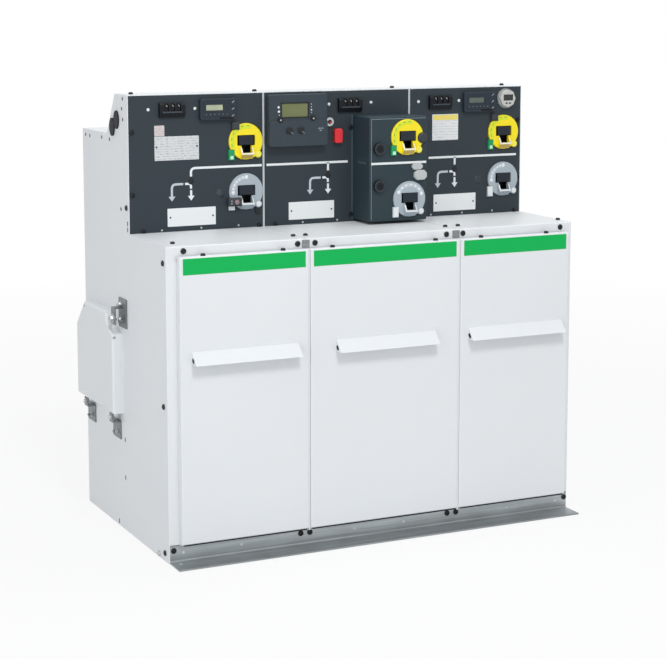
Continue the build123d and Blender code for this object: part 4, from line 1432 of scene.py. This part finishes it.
@dataclass
class LeverDials:
    """The dials that the operating levers go into, with their guides, marks, tabs and knobs.

    Places on a dial are across and up from its middle, and out from its plate's front. Angles are in
    degrees, anticlockwise from the right. A line is given by its width and thickness, a profile by its
    radii and heights, and a tile by its size, corner radius and thickness.
    """

    radius: float = 48.5
    guide_reach: float = 12.0
    cheek_middle: float = 16.0
    cheek_root: float = -11.0
    cheek_top: float = -17.0
    cheek_widths: Point = (4.2, 2.6)
    lip_middle: float = -32.3
    edge_width: float = 4.6
    edge_thickness: float = 1.4
    edge_lift: float = 0.4
    chin_foot: float = -46.0
    chin_lift: float = 0.3
    chin_thickness: float = 0.8
    lug_place: Point = (35.0, -35.0)
    boss_profile: Points = ((7.4, -0.2), (7.4, 1.4), (6.512, 2.0), (2.96, 2.0), (2.22, 1.0))
    band_radius: float = 40.0
    band_angles: Point = (205.0, 70.0)
    band_steps: int = 40
    band_line: Point = (12.0, 0.2)
    sweep_radius: float = 42.0
    sweep_start: float = 78.0
    sweep_pitch: float = 22.0
    sweep_count: int = 6
    sweep_length: float = 9.0
    sweep_steps: int = 5
    sweep_line: Point = (2.6, 0.4)
    track_radius: float = 38.5
    track_line: Point = (10.0, 0.2)
    track_steps: int = 24
    dot_sizes: Numbers = (5.2, 3.2, 2.8, 2.8, 3.0, 3.2, 5.2)
    dot_height: float = 0.9
    dot_angles: Point = (90.0, 184.0)
    middle_dot_angles: Point = (150.0, 20.0)
    tab_highlight_place: Place = (-42.0, -42.0, 2.0)
    tab_highlight_tile: Tile = ((9.0, 9.0), 1.5, 0.5)
    key_disc_size: Point = (6.6, 1.2)
    key_disc_place: Place = (-33.5, -26.0, 16.0)
    key_mark_tile: Tile = ((2.4, 4.0), 0.8, 0.4)
    key_mark_places: Tuple[Place, ...] = ((-49.0, -29.4, 16.0), (-49.0, -22.6, 16.0))
    cap_ring_line: Point = (2.2, 0.8)
    cap_ring_share: float = 0.84
    cap_ring_steps: int = 37
    cap_hub_shares: Points = ((0.5, -0.2), (0.5, 0.5), (0.42, 0.7))

    def centre(self, lever: Lever, cubicle: str) -> Place:
        """Return a dial's middle in the cabinet's frame, at the depth of its plate's front."""
        low, high = node_box(f"{lever.value}_{cubicle}")
        return low[0] + self.radius, low[1] + self.guide_reach, high[2] - self.radius

    def on_each(self, lever: Lever, shape: Surface) -> Surface:
        """Return a shape set on the dial of every cubicle."""
        return shape.spread(Facing.FRONT, [self.centre(lever, cubicle) for cubicle in CUBICLES])

    def guide_highlights(self) -> Surface:
        """Work out the painted highlights on the edges of a guide: two rising cheeks and the lip between
        them.

        A cheek rises evenly from the plate at its root to the guide's full reach at the lip, and its
        painted highlight starts part of the way up that slope.

        Returns:
            The three pale bars of painted highlight, about the dial's middle.
        """
        lip_out = self.guide_reach + self.edge_lift
        top_out = lip_out * (self.cheek_top - self.cheek_root) / (self.lip_middle - self.cheek_root)
        cheeks: List[Surface] = []
        for side, width in zip(SIDES, self.cheek_widths):
            x = side * self.cheek_middle
            ends = [(x, self.cheek_top, top_out), (x, self.lip_middle, lip_out)]
            cheeks.append(bar(*ends, (1, 0, 0), width, self.edge_thickness))
        reach = self.cheek_middle + self.edge_width / 2
        ends = [(side * reach, self.lip_middle, lip_out) for side in SIDES]
        return joined(cheeks + [bar(*ends, (0, 1, 0), self.edge_width, self.edge_thickness)])

    def chin_face(self) -> Surface:
        """Work out the sloping face under a guide's lip, which carries painted shade on the switch dials.

        Returns:
            A flat bar from cheek to cheek, as wide as the slope from the lip down to the plate is long.
        """
        head = self.lip_middle - self.edge_width / 2
        slope = (0.0, self.chin_foot - head, -self.guide_reach)
        middle = ((head + self.chin_foot) / 2, self.guide_reach / 2 + self.chin_lift)
        ends = [(side * self.cheek_middle, *middle) for side in SIDES]
        return bar(*ends, slope, math.hypot(*slope), self.chin_thickness)

    def add_guides(self) -> None:
        """Set the painted highlights on the guides' edges, their chins, in painted shade on the switch dials,
        and the bosses on the lugs.
        """
        boss = turned(self.boss_profile).moved(*self.lug_place)
        edges, chin = self.guide_highlights(), self.chin_face()
        # The guides' cream and pale edges are painted highlights; the switch chins' amber is painted shade.
        for lever, stem, highlight_finish, chin_finish, lug_finish in (
            (Lever.SWITCH, "switch", GUIDE_HIGHLIGHT_CREAM, CHIN_SHADE_AMBER, LUG_LEMON),
            (Lever.EARTHING, "earthing", GUIDE_HIGHLIGHT_AND_LUG_PALE, EARTHING_GREY, GUIDE_HIGHLIGHT_AND_LUG_PALE),
        ):
            add_piece(f"{stem}_guide_highlights", self.on_each(lever, edges), highlight_finish)
            add_piece(f"{stem}_chins", self.on_each(lever, chin), chin_finish)
            add_piece(f"{stem}_bosses", self.on_each(lever, boss), lug_finish)

    def add_switch_marks(self) -> None:
        """Set a lime band with short green sweeps on each switch dial."""
        band = ribbon(arc_path(self.band_radius, *self.band_angles, self.band_steps), *self.band_line)
        starts = self.sweep_start + self.sweep_pitch * np.arange(self.sweep_count)
        arcs = [arc_path(self.sweep_radius, at + self.sweep_length, at, self.sweep_steps) for at in starts]
        sweeps = joined(ribbon(arc, *self.sweep_line) for arc in arcs)
        add_piece("switch_dial_bands", self.on_each(Lever.SWITCH, band), BAND_LIME)
        add_piece("switch_dial_marks", self.on_each(Lever.SWITCH, sweeps), MARK_GREEN)

    def add_earthing_marks(self) -> None:
        """Set a pale band with a row of dots on each earthing dial; the middle dial's are turned."""
        tracks: List[Surface] = []
        dots: List[Surface] = []
        for cubicle in CUBICLES:
            place = self.centre(Lever.EARTHING, cubicle)
            angles = self.middle_dot_angles if cubicle == "middle" else self.dot_angles
            arc = arc_path(self.track_radius, *angles, self.track_steps)
            tracks.append(ribbon(arc, *self.track_line).placed(Facing.FRONT, place))
            spots = arc_path(self.track_radius, *angles, len(self.dot_sizes))
            for spot, size in zip(spots, self.dot_sizes):
                dots.append(dome(size, self.dot_height).moved(*spot).placed(Facing.FRONT, place))
        add_piece("earthing_dial_bands", joined(tracks), BAND_PALE)
        add_piece("earthing_dial_marks", joined(dots), TAB_WHITE)

    def add_tab_details(self) -> None:
        """Set a pale painted highlight on each switch tab, and the disc and marks on the left dial's key
        block.
        """
        # A pale tile paints a highlight on each switch tab.
        patch = tile(*self.tab_highlight_tile).moved(*self.tab_highlight_place)
        disc = dome(*self.key_disc_size).moved(*self.key_disc_place)
        marks = tile(*self.key_mark_tile).dotted(self.key_mark_places)
        block = self.centre(Lever.EARTHING, "left")
        add_piece("switch_tab_highlights", self.on_each(Lever.SWITCH, patch), TAB_HIGHLIGHT_MINT)
        add_piece("key_block_disc", disc.placed(Facing.FRONT, block), KEY_ROSE)
        add_piece("key_block_marks", marks.placed(Facing.FRONT, block), KEY_GREY)

    def add_cap_rings(self) -> None:
        """Set a raised ring and a dished middle on each of the two round interlock caps.

        The middle's profile has its radii as shares of the cap's radius.
        """
        low, high = node_box("interlock_caps")
        radius = (high[0] - low[0]) / 2
        circle = arc_path(self.cap_ring_share * radius, FULL_TURN, 0, self.cap_ring_steps)
        ring = ribbon(circle, *self.cap_ring_line)
        hub = turned(np.array(self.cap_hub_shares) * (radius, 1.0), LARGE_ROUND)
        places = [(low[0] + radius, low[1], level) for level in (low[2] + radius, high[2] - radius)]
        add_piece("interlock_cap_rings", ring.spread(Facing.FRONT, places), LIP_SLATE)
        add_piece("interlock_cap_hubs", hub.spread(Facing.FRONT, places), INDICATOR_PLASTIC)

    def build(self) -> None:
        """Dress the dials and what stands by them."""
        dress(SWITCH_YELLOW, *each_cubicle(Lever.SWITCH.value))
        dress(EARTHING_GREY, *each_cubicle(Lever.EARTHING.value))
        dress(SOCKET_PLASTIC, *each_cubicle("lever_sockets"))
        dress(KNOB_SLATE, "interlock_knobs")
        dress(BLACK_PLASTIC, "interlock_caps")
        dress(TAB_GREEN, "switch_tabs")
        dress(TAB_WHITE, "earthing_tabs")
        dress(KEY_GREY, "key_interlock")
        self.add_guides()
        self.add_switch_marks()
        self.add_earthing_marks()
        self.add_tab_details()
        self.add_cap_rings()


@dataclass(frozen=True)
class CaseFront:
    """The front of an instrument's case: its node, its middle and size across and up, and its depth."""

    node: str
    middle: np.ndarray
    size: np.ndarray
    depth: float

    @classmethod
    def of(cls, node: str) -> "CaseFront":
        """Return the case front of a solid part."""
        low, high = node_box(node)
        return cls(node, (low[[0, 2]] + high[[0, 2]]) / 2, high[[0, 2]] - low[[0, 2]], float(low[1]))

    def at(self, share: Point, back: float = 0.0) -> Place:
        """Return the place at a share of the case's size from its middle, a distance behind its front."""
        across, up = self.middle + np.array(share) * self.size
        return across, self.depth + back, up

    def spread(self, shape: Surface, shares: Iterable[Point], back: float = 0.0) -> Surface:
        """Return a shape repeated at shares of the case."""
        return shape.spread(Facing.FRONT, [self.at(share, back) for share in shares])

    def add(self, stem: str, surface: Surface, finish: Finish, slot: str = "") -> None:
        """Add a piece that is named after the case."""
        add_piece(f"{self.node}_{stem}", surface, finish)


@dataclass(frozen=True)
class Screen:
    """A recessed screen: the place of its middle and its size, both as shares of its case, and its glass."""

    place: Point
    shares: Point
    recess: float = 1.5
    gap: float = 0.6
    corner: float = 0.8
    glass_lift: float = 0.4

    def glass(self, case: CaseFront, back: float = 0.0) -> Surface:
        """Return the screen's glass, whose surround lies a distance behind the case's front."""
        pane = tile(np.array(self.shares) * case.size - self.gap, self.corner, self.glass_lift)
        return case.spread(pane, [self.place], back + self.recess)


@dataclass
class ProtectionRelay:
    """The large relay: a screen with keys and lamps, and a flap with setting knobs that stands proud.

    In the instruments, places and shares are of the case's size, places from its middle. A dome is given
    by its radius and height, and lines, profiles and tiles as on the dials.
    """

    flap_proud: float = 4.0
    screen: Screen = Screen((-0.063, 0.195), (0.45, 0.26))
    bezel_gap: float = 2.4
    bezel_line: Point = (3.0, 1.0)
    frame_place: Point = (0.01, 0.19)
    frame_shares: Point = (0.93, 0.36)
    frame_line: Point = (1.4, 0.5)
    key_dome: Point = (3.4, 1.6)
    key_places: Points = ((-0.342, 0.257), (-0.338, 0.175))
    bright_lamp_dome: Point = (2.2, 1.0)
    bright_lamp_place: Point = (0.223, 0.195)
    lamp_dome: Point = (1.54, 0.8)
    lamp_places: Points = ((0.223, 0.304), (0.223, 0.251), (0.223, 0.145), (-0.333, 0.106))
    thumb_places: Points = ((-0.32, 0.012), (0.246, 0.03))
    thumb_profile: Points = ((7.2, -0.5), (7.2, 5.4), (6.4, 6.4), (2.4, 6.4), (2.0, 5.6))
    thumb_ribs: int = 14
    thumb_rib_share: float = 0.05
    thumb_highlight_dome: Point = (2.4, 0.8)
    thumb_highlight_out: float = 6.0
    knob_places: Points = ((-0.172, -0.19), (0.026, -0.19))
    knob_profile: Points = ((9.5, -0.5), (9.5, 2.2), (8.17, 3.2), (3.8, 3.4))
    knob_ribs: int = 15
    knob_rib_share: float = 0.03
    pointer_path: Points = ((2.85, -2.85), (9.975, -9.025))
    pointer_line: Point = (2.2, 3.8)
    mark_tile: Tile = ((7.0, 3.4), 0.8, 0.4)
    mark_places: Points = ((0.35, -0.165), (0.4, -0.165), (0.37, -0.205))

    def add_upper_half(self, case: CaseFront) -> None:
        """Set the screen, bezel, frame, keys, lamps and thumb screws, each thumb screw with a painted
        highlight in its middle, behind the proud flap's front.

        Args:
            case: The relay's case.
        """
        back = self.flap_proud
        bezel = border(*np.array(self.screen.shares) * case.size + self.bezel_gap, *self.bezel_line)
        rim = border(*np.array(self.frame_shares) * case.size, *self.frame_line)
        keys = case.spread(dome(*self.key_dome), self.key_places, back)
        bright_lamp = case.spread(dome(*self.bright_lamp_dome), [self.bright_lamp_place], back)
        lamps = case.spread(dome(*self.lamp_dome), self.lamp_places, back)
        thumb = turned(self.thumb_profile, 2 * self.thumb_ribs, self.thumb_ribs, self.thumb_rib_share)
        # A grey dome on each thumb screw paints the highlight in its middle.
        thumb_highlight = dome(*self.thumb_highlight_dome).moved(0, 0, self.thumb_highlight_out)
        case.add("screen", self.screen.glass(case, back), RELAY_DISPLAY)
        case.add("bezel", case.spread(bezel, [self.screen.place], back), BLACK_PLASTIC, "black_plastic")
        case.add("frame", case.spread(rim, [self.frame_place], back), LIP_SLATE, "relay_plastic")
        case.add("keys", joined([keys, bright_lamp]), TAB_WHITE, "tab_white")
        case.add("lamps", lamps, MIMIC_GREY)
        case.add("thumb_screws", case.spread(thumb, self.thumb_places, back), BLACK_PLASTIC, "black_plastic")
        case.add("thumb_highlights", case.spread(thumb_highlight, self.thumb_places, back), KEY_GREY)

    def build(self) -> None:
        """Dress the relay, and set the parts of its upper half and the knobs and blank marks of its flap."""
        dress(RELAY_PLASTIC, "protection_relay")
        case = CaseFront.of("protection_relay")
        self.add_upper_half(case)
        knob = turned(self.knob_profile, 2 * self.knob_ribs, self.knob_ribs, self.knob_rib_share)
        pointer = ribbon(self.pointer_path, *self.pointer_line)
        case.add("knobs", case.spread(knob, self.knob_places), BLACK_PLASTIC, "black_plastic")
        case.add("pointers", case.spread(pointer, self.knob_places), KEY_DIM)
        case.add("marks", case.spread(tile(*self.mark_tile), self.mark_places), EDGE_HIGHLIGHT_AND_MARK)


@dataclass
class FaultRelay:
    """A cubicle's fault relay, with the finish of its screen, its slanted keys, lamps, slot and rim."""

    cubicle: str
    display: Finish
    screen: Screen = Screen((-0.11, 0.09), (0.47, 0.27))
    key_tile: Tile = ((9.0, 3.2), 1.4, 1.0)
    key_turn: float = 38.0
    key_places: Points = ((0.4, -0.3), (0.4, 0.02), (0.4, 0.34))
    lamp_dome: Point = (1.32, 0.6)
    lamp_span: Point = (-0.34, 0.24)
    lamp_count: int = 6
    lamp_drop: float = -0.22
    slot_share: float = 0.4
    slot_height: float = 5.4
    slot_corner: float = 1.0
    slot_thickness: float = 0.5
    slot_place: Point = (0.22, -0.4)
    rim_shares: Point = (0.93, 0.88)
    rim_line: Point = (1.0, 0.4)

    def build(self) -> None:
        """Dress the relay and set its screen, keys, lamps, slot and rim."""
        dress(FAULT_PLASTIC, f"fault_relay_{self.cubicle}")
        case = CaseFront.of(f"fault_relay_{self.cubicle}")
        key = tile(*self.key_tile).turned_by(self.key_turn)
        lamp_places = [(step, self.lamp_drop) for step in np.linspace(*self.lamp_span, self.lamp_count)]
        slot = tile((self.slot_share * case.size[0], self.slot_height), self.slot_corner, self.slot_thickness)
        rim = border(*np.array(self.rim_shares) * case.size, *self.rim_line)
        case.add("screen", self.screen.glass(case), self.display)
        case.add("keys", case.spread(key, self.key_places), KEY_DIM)
        case.add("lamps", case.spread(dome(*self.lamp_dome), lamp_places), KEY_DIM)
        case.add("slot", case.spread(slot, [self.slot_place]), INDICATOR_PLASTIC)
        case.add("rim", case.spread(rim, [(0, 0)]), LIP_SLATE)


@dataclass
class VoltageIndicators:
    """The voltage presence indicators, each with three pockets for a lamp and a socket, and a lip."""

    pocket_pitch: float = 17.0
    pocket_depth: float = 4.0
    lamp_highlight_path: Points = ((-1.7, 2.2), (1.7, -2.2))
    lamp_highlight_line: Point = (2.0, 0.8)
    lamp_highlight_shift: float = 2.0
    lamp_highlight_place: Point = (0.0, 0.28)
    socket_dome: Point = (2.2, 2.4)
    socket_place: Point = (0.0, -0.02)
    lip_share: float = 0.38
    lip_line: Point = (4.0, 0.5)
    lip_place: Point = (0.0, -0.14)

    def build(self) -> None:
        """Dress the indicators and set their lips, the painted highlights on their lamps, and their sockets.
        """
        nodes = each_cubicle("voltage_indicator")
        dress(INDICATOR_PLASTIC, *nodes)
        pockets = [(step * self.pocket_pitch, 0) for step in (-1, 0, 1)]
        # Short pale ticks paint the highlights on the round lamps.
        lamp_highlights = ribbon(self.lamp_highlight_path, *self.lamp_highlight_line).moved(self.lamp_highlight_shift, 0).dotted(pockets)
        sockets = dome(*self.socket_dome).dotted(pockets)
        lips: List[Surface] = []
        lamps: List[Surface] = []
        collars: List[Surface] = []
        for case in map(CaseFront.of, nodes):
            lip = ribbon([(side * self.lip_share * case.size[0], 0) for side in SIDES], *self.lip_line)
            lips.append(case.spread(lip, [self.lip_place]))
            lamps.append(case.spread(lamp_highlights, [self.lamp_highlight_place], self.pocket_depth))
            collars.append(case.spread(sockets, [self.socket_place], self.pocket_depth))
        add_piece("indicator_lips", joined(lips), LIP_SLATE)
        add_piece("indicator_lamps", joined(lamps), KEY_GREY)
        add_piece("indicator_sockets", joined(collars), SOCKET_PLASTIC)


@dataclass
class PressureGauge:
    """The gas pressure gauge, with a dark window, two small marks and a ring on its collar."""

    window_size: Point = (31.0, 17.0)
    window_corner: float = 1.5
    window_rise: float = 3.0
    window_lift: float = 0.4
    ring_radius: float = 26.6
    ring_line: Point = (2.8, 0.4)
    ring_steps: int = 41
    collar_setback: float = 11.0
    mark_tile: Tile = ((7.0, 4.0), 1.0, 0.5)
    mark_spots: Points = ((-5.5, -13.0), (5.5, -13.0))

    def build(self) -> None:
        """Dress the gauge and set its window, ring and marks."""
        dress(GAUGE_PLASTIC, "pressure_gauge")
        case = CaseFront.of("pressure_gauge")
        window = plate(rounded_outline(*self.window_size, self.window_corner), self.window_lift)
        ring = ribbon(arc_path(self.ring_radius, FULL_TURN, 0, self.ring_steps), *self.ring_line)
        marks = tile(*self.mark_tile).dotted(self.mark_spots)
        add_piece("gauge_window", case.spread(window.moved(0, self.window_rise), [(0, 0)]), DARK_GLASS)
        add_piece("gauge_ring", case.spread(ring, [(0, 0)], self.collar_setback), KEY_DIM)
        add_piece("gauge_marks", case.spread(marks, [(0, 0)]), RELAY_PLASTIC)


@dataclass
class TripControls:
    """The red trip button, and the key switch with its dark core and the red mark on its lower right."""

    core_profile: Points = ((5.6, -0.3), (5.6, 1.6), (4.8, 2.0))
    core_setback: float = 4.0
    mark_dome: Point = (2.8, 1.0)
    mark_place: Place = (2.2, -1.8, 2.0)

    def build(self) -> None:
        """Dress the button and the key switch, and set the switch's core and mark."""
        dress(BUTTON_RED, "trip_button")
        dress(LOCK_CHROME, "key_switch")
        case = CaseFront.of("key_switch")
        core, mark = turned(self.core_profile), dome(*self.mark_dome).moved(*self.mark_place)
        case.add("core", case.spread(core, [(0, 0)], self.core_setback), INDICATOR_PLASTIC, "black_plastic")
        case.add("mark", case.spread(mark, [(0, 0)], self.core_setback), BUTTON_RED, "button_red")


@dataclass
class BusbarEnd:
    """The busbar end cover on the left side, with its brackets, nuts and cable grommets.

    A nut or screw is given by its radius and height, and a profile by its radii and heights.
    """

    nut_size: Point = (5.6, 5.0)
    washer_profile: Points = ((8.4, -0.2), (8.4, 1.0), (7.728, 1.4))
    plate_reach: float = 3.0
    plate_nuts: Points = ((340, 617), (340, 577), (388, 262), (606, 262))
    clip_reach: float = 24.0
    clip_nuts: Points = ((372, 305), (590, 305))
    clip_bolt: Point = (343, 580)
    clip_bolt_scale: float = 1.5
    stud_profile: Points = ((2.8, 0.0), (2.8, 12.0), (2.24, 13.0))
    cover_screw_size: Point = (4.2, 1.6)
    corner_screw_gaps: Point = (75.0, 11.0)
    edge_screw_gaps: Point = (6.0, 62.0)

    def nut_on_washer(self) -> Surface:
        """Return a six-sided nut on a round washer."""
        nut = hex_bolt(*self.nut_size).moved(0, 0, self.washer_profile[-1][1])
        return joined([turned(self.washer_profile), nut])

    def add_bracket_nuts(self) -> None:
        """Set the brackets' nuts on their washers, the upper clip's larger bolt and the studs."""
        nut = self.nut_on_washer()
        stud = turned(self.stud_profile, SMALL_ROUND)
        plate_places = on_side(-self.plate_reach, self.plate_nuts)
        nuts = joined([
            nut.spread(Facing.LEFT, plate_places + on_side(-self.clip_reach, self.clip_nuts)),
            nut.scaled(self.clip_bolt_scale).placed(Facing.LEFT, (-self.clip_reach, *self.clip_bolt)),
        ])
        add_piece("bracket_nuts", nuts, NUT_ZINC)
        add_piece("bracket_studs", stud.spread(Facing.LEFT, plate_places), NUT_ZINC)

    def add_cover_screws(self) -> None:
        """Set the small screws on the cover: one where its top meets its slope, one on its front wall."""
        low, high = node_box("bus_cover")
        head = dome(*self.cover_screw_size)
        back, down = self.corner_screw_gaps
        inward, below = self.edge_screw_gaps
        corner = head.placed(Facing.LEFT, (low[0], high[1] - back, high[2] - down))
        edge = head.placed(Facing.FRONT, (low[0] + inward, low[1], high[2] - below))
        add_piece("bus_cover_screws", joined([corner, edge]), NUT_ZINC)

    def build(self) -> None:
        """Dress the cover, its brackets and the grommets, and set their nuts and screws."""
        dress(CABINET_PAINT, "bus_cover")
        dress(BRACKET_ZINC, "bus_cover_brackets")
        dress(RUBBER_AND_SHADOW, "cable_grommets")
        self.add_bracket_nuts()
        self.add_cover_screws()


@dataclass
class BaseAngle:
    """The galvanised angle along the foot of the front, with its screws and rivets."""

    screw_places: Numbers = (12, 366, 392, 803, 830, 1177)
    screw_level: float = 34.0
    screw_size: Point = (7.6, 3.6)
    rivet_places: Numbers = (39, 198, 523, 670, 991, 1148)
    rivet_level: float = 27.0
    rivet_size: Point = (4.0, 1.6)

    def build(self) -> None:
        """Dress the angle and set its screws and rivets."""
        dress(BASE_ZINC, "front_base_angle")
        face = node_box("left_side_panel")[0][1]
        screw_places = [(x, face, self.screw_level) for x in self.screw_places]
        rivet_places = [(x, face, self.rivet_level) for x in self.rivet_places]
        screws = screw_head(*self.screw_size).spread(Facing.FRONT, screw_places)
        rivets = dome(*self.rivet_size).spread(Facing.FRONT, rivet_places)
        add_piece("base_screws", screws, SCREW_BLACK)
        add_piece("base_rivets", rivets, TAB_WHITE)


@dataclass(frozen=True)
class SoftLamp:
    """A square lamp: its name, its place and the point that it lights, its size, power and colour."""

    name: str
    place: Place
    aim: Place
    size: float
    power: float
    colour: Colour = WHITE

    def hang(self) -> None:
        """Hang the lamp, turned to the point that it lights."""
        lamp = bpy.data.lights.new(self.name, "AREA")
        lamp.size = self.size
        lamp.energy = self.power
        lamp.color = self.colour
        held = bpy.data.objects.new(self.name, lamp)
        held.location = self.place
        way = np.subtract(self.aim, self.place)
        yaw = math.atan2(way[0], way[1])
        tilt = math.atan2(-way[2], math.hypot(way[0], way[1]))
        held.rotation_euler = (math.pi / 2 - tilt, 0.0, -yaw)
        bpy.context.scene.collection.objects.link(held)


@dataclass
class Studio:
    """A pale floor, soft lamps, a white surround and the camera; the lamps and the floor are in metres."""

    floor_half_width: float = 12.0
    floor_colour: Colour = (0.8, 0.8, 0.8)
    floor_near_share: float = 0.84
    floor_near: float = 1.0
    floor_far: float = 4.5
    surround_colour: Colour = (0.97, 0.985, 1.0)
    surround_strength: float = 0.5
    camera_place: Place = (-1535.3, -4184.0, 1429.7)
    camera_yaw: float = 0.4449
    camera_pitch: float = 0.1359
    camera_lens: float = 97.87
    camera_shift: float = -0.13
    sensor_width: float = 36.0
    lamps: Tuple[SoftLamp, ...] = (
        SoftLamp("front_lamp", (0.0, -4.8, 0.8), (0.0, 0.0, 0.4), 3.2, 25.0),
        SoftLamp("high_lamp", (-0.7, -3.6, 4.4), (0.1, -0.1, 0.6), 1.1, 97.0),
        SoftLamp("left_lamp", (-4.4, -1.7, 2.0), (-0.5, 0.0, 0.6), 3.0, 48.0, COOL_LIGHT),
        SoftLamp("top_lamp", (0.7, 0.2, 4.2), (0.3, 0.0, 0.6), 2.2, 36.0, COOL_LIGHT),
    )

    def seen_directly(self, graph: Graph) -> Socket:
        """Tell the rays that show a thing from those that light it.

        Args:
            graph: The graph to draw in.

        Returns:
            One for rays from the camera, mirrors and glass, and nought for the light itself.
        """
        names = ("Is Camera Ray", "Is Glossy Ray", "Is Transmission Ray")
        camera, glossy, through = [graph.node("ShaderNodeLightPath", output=name) for name in names]
        return (camera + glossy + through).at_most(1.0)

    def add_surround(self) -> None:
        """Light the scene evenly from all round, and show white behind the object."""
        world = bpy.data.worlds.new("surround")
        world.use_nodes = True
        graph = Graph(world.node_tree)
        light, white = [
            graph.node("ShaderNodeBackground", inputs={"Color": (*colour, 1.0), "Strength": strength})
            for colour, strength in ((self.surround_colour, self.surround_strength), (WHITE, 1.0))
        ]
        shown = graph.node("ShaderNodeMixShader", inputs={0: self.seen_directly(graph), 1: light, 2: white})
        graph.node("ShaderNodeOutputWorld", inputs={"Surface": shown})
        bpy.context.scene.world = world

    def floor_material(self) -> bpy.types.Material:
        """Make the floor's finish: matt to the light, and nearly white to the eye, more so further away.

        Returns:
            The floor's material.
        """
        material = bpy.data.materials.new("floor_finish")
        material.use_nodes = True
        graph = Graph(material.node_tree)
        matt = graph.node("ShaderNodeBsdfDiffuse", inputs={"Color": (*self.floor_colour, 1.0)})
        white = graph.node("ShaderNodeEmission", inputs={"Color": (*WHITE, 1.0), "Strength": 1.0})
        away = graph.node("ShaderNodeVectorMath", {"operation": "LENGTH"}, {0: graph.place()}, "Value")
        rise = ((away - self.floor_near) * (1 / (self.floor_far - self.floor_near))).within_unit()
        share = self.seen_directly(graph) * (self.floor_near_share + (1 - self.floor_near_share) * rise)
        mixed = graph.node("ShaderNodeMixShader", inputs={0: share, 1: matt, 2: white})
        graph.node("ShaderNodeOutputMaterial", inputs={"Surface": mixed})
        return material

    def add_floor(self) -> None:
        """Lay a pale floor that keeps the object's shadow."""
        half = self.floor_half_width
        corners = [(-half, -half, 0), (half, -half, 0), (half, half, 0), (-half, half, 0)]
        mesh = bpy.data.meshes.new("floor")
        mesh.from_pydata(corners, [], [(0, 1, 2, 3)])
        mesh.materials.append(self.floor_material())
        floor = bpy.data.objects.new("floor", mesh)
        bpy.context.scene.collection.objects.link(floor)
        floor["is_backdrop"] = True

    def add_camera(self) -> None:
        """Set the camera where the reference view was taken from."""
        lens = bpy.data.cameras.new("camera")
        lens.sensor_fit = "HORIZONTAL"
        lens.sensor_width = self.sensor_width
        lens.lens = self.camera_lens
        lens.shift_y = self.camera_shift
        camera = bpy.data.objects.new("camera", lens)
        camera.location = CORNER + MM * np.array(self.camera_place)
        camera.rotation_euler = (math.pi / 2 - self.camera_pitch, 0.0, -self.camera_yaw)
        bpy.context.scene.collection.objects.link(camera)
        bpy.context.scene.camera = camera

    def build(self) -> None:
        """Build the studio."""
        bpy.context.scene.view_settings.view_transform = "Standard"
        self.add_surround()
        self.add_floor()
        for lamp in self.lamps:
            lamp.hang()
        self.add_camera()


def write_sizes() -> None:
    """Work out the box of the solid parts and the box of the finished model, in metres, and keep neither."""
    boxes = {"cad": SOLID_BOUNDS, "visual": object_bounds()}
    {name: [list(corner) for corner in box] for name, box in boxes.items()}


def main() -> None:
    """Build the sub-assemblies in order, then the studio."""
    logging.basicConfig(level=logging.INFO, format="%(message)s")
    for assembly in (
        CabinetShell(), *map(CablePanel, CUBICLES), ControlPanels(), LeverDials(), ProtectionRelay(),
        FaultRelay("left", FAULT_DISPLAY), FaultRelay("right", IDLE_DISPLAY), VoltageIndicators(),
        PressureGauge(), TripControls(), BusbarEnd(), BaseAngle(), Studio(),
    ):
        log.info("building %s", type(assembly).__name__)
        assembly.build()
    write_sizes()


if __name__ == "__main__":
    main()
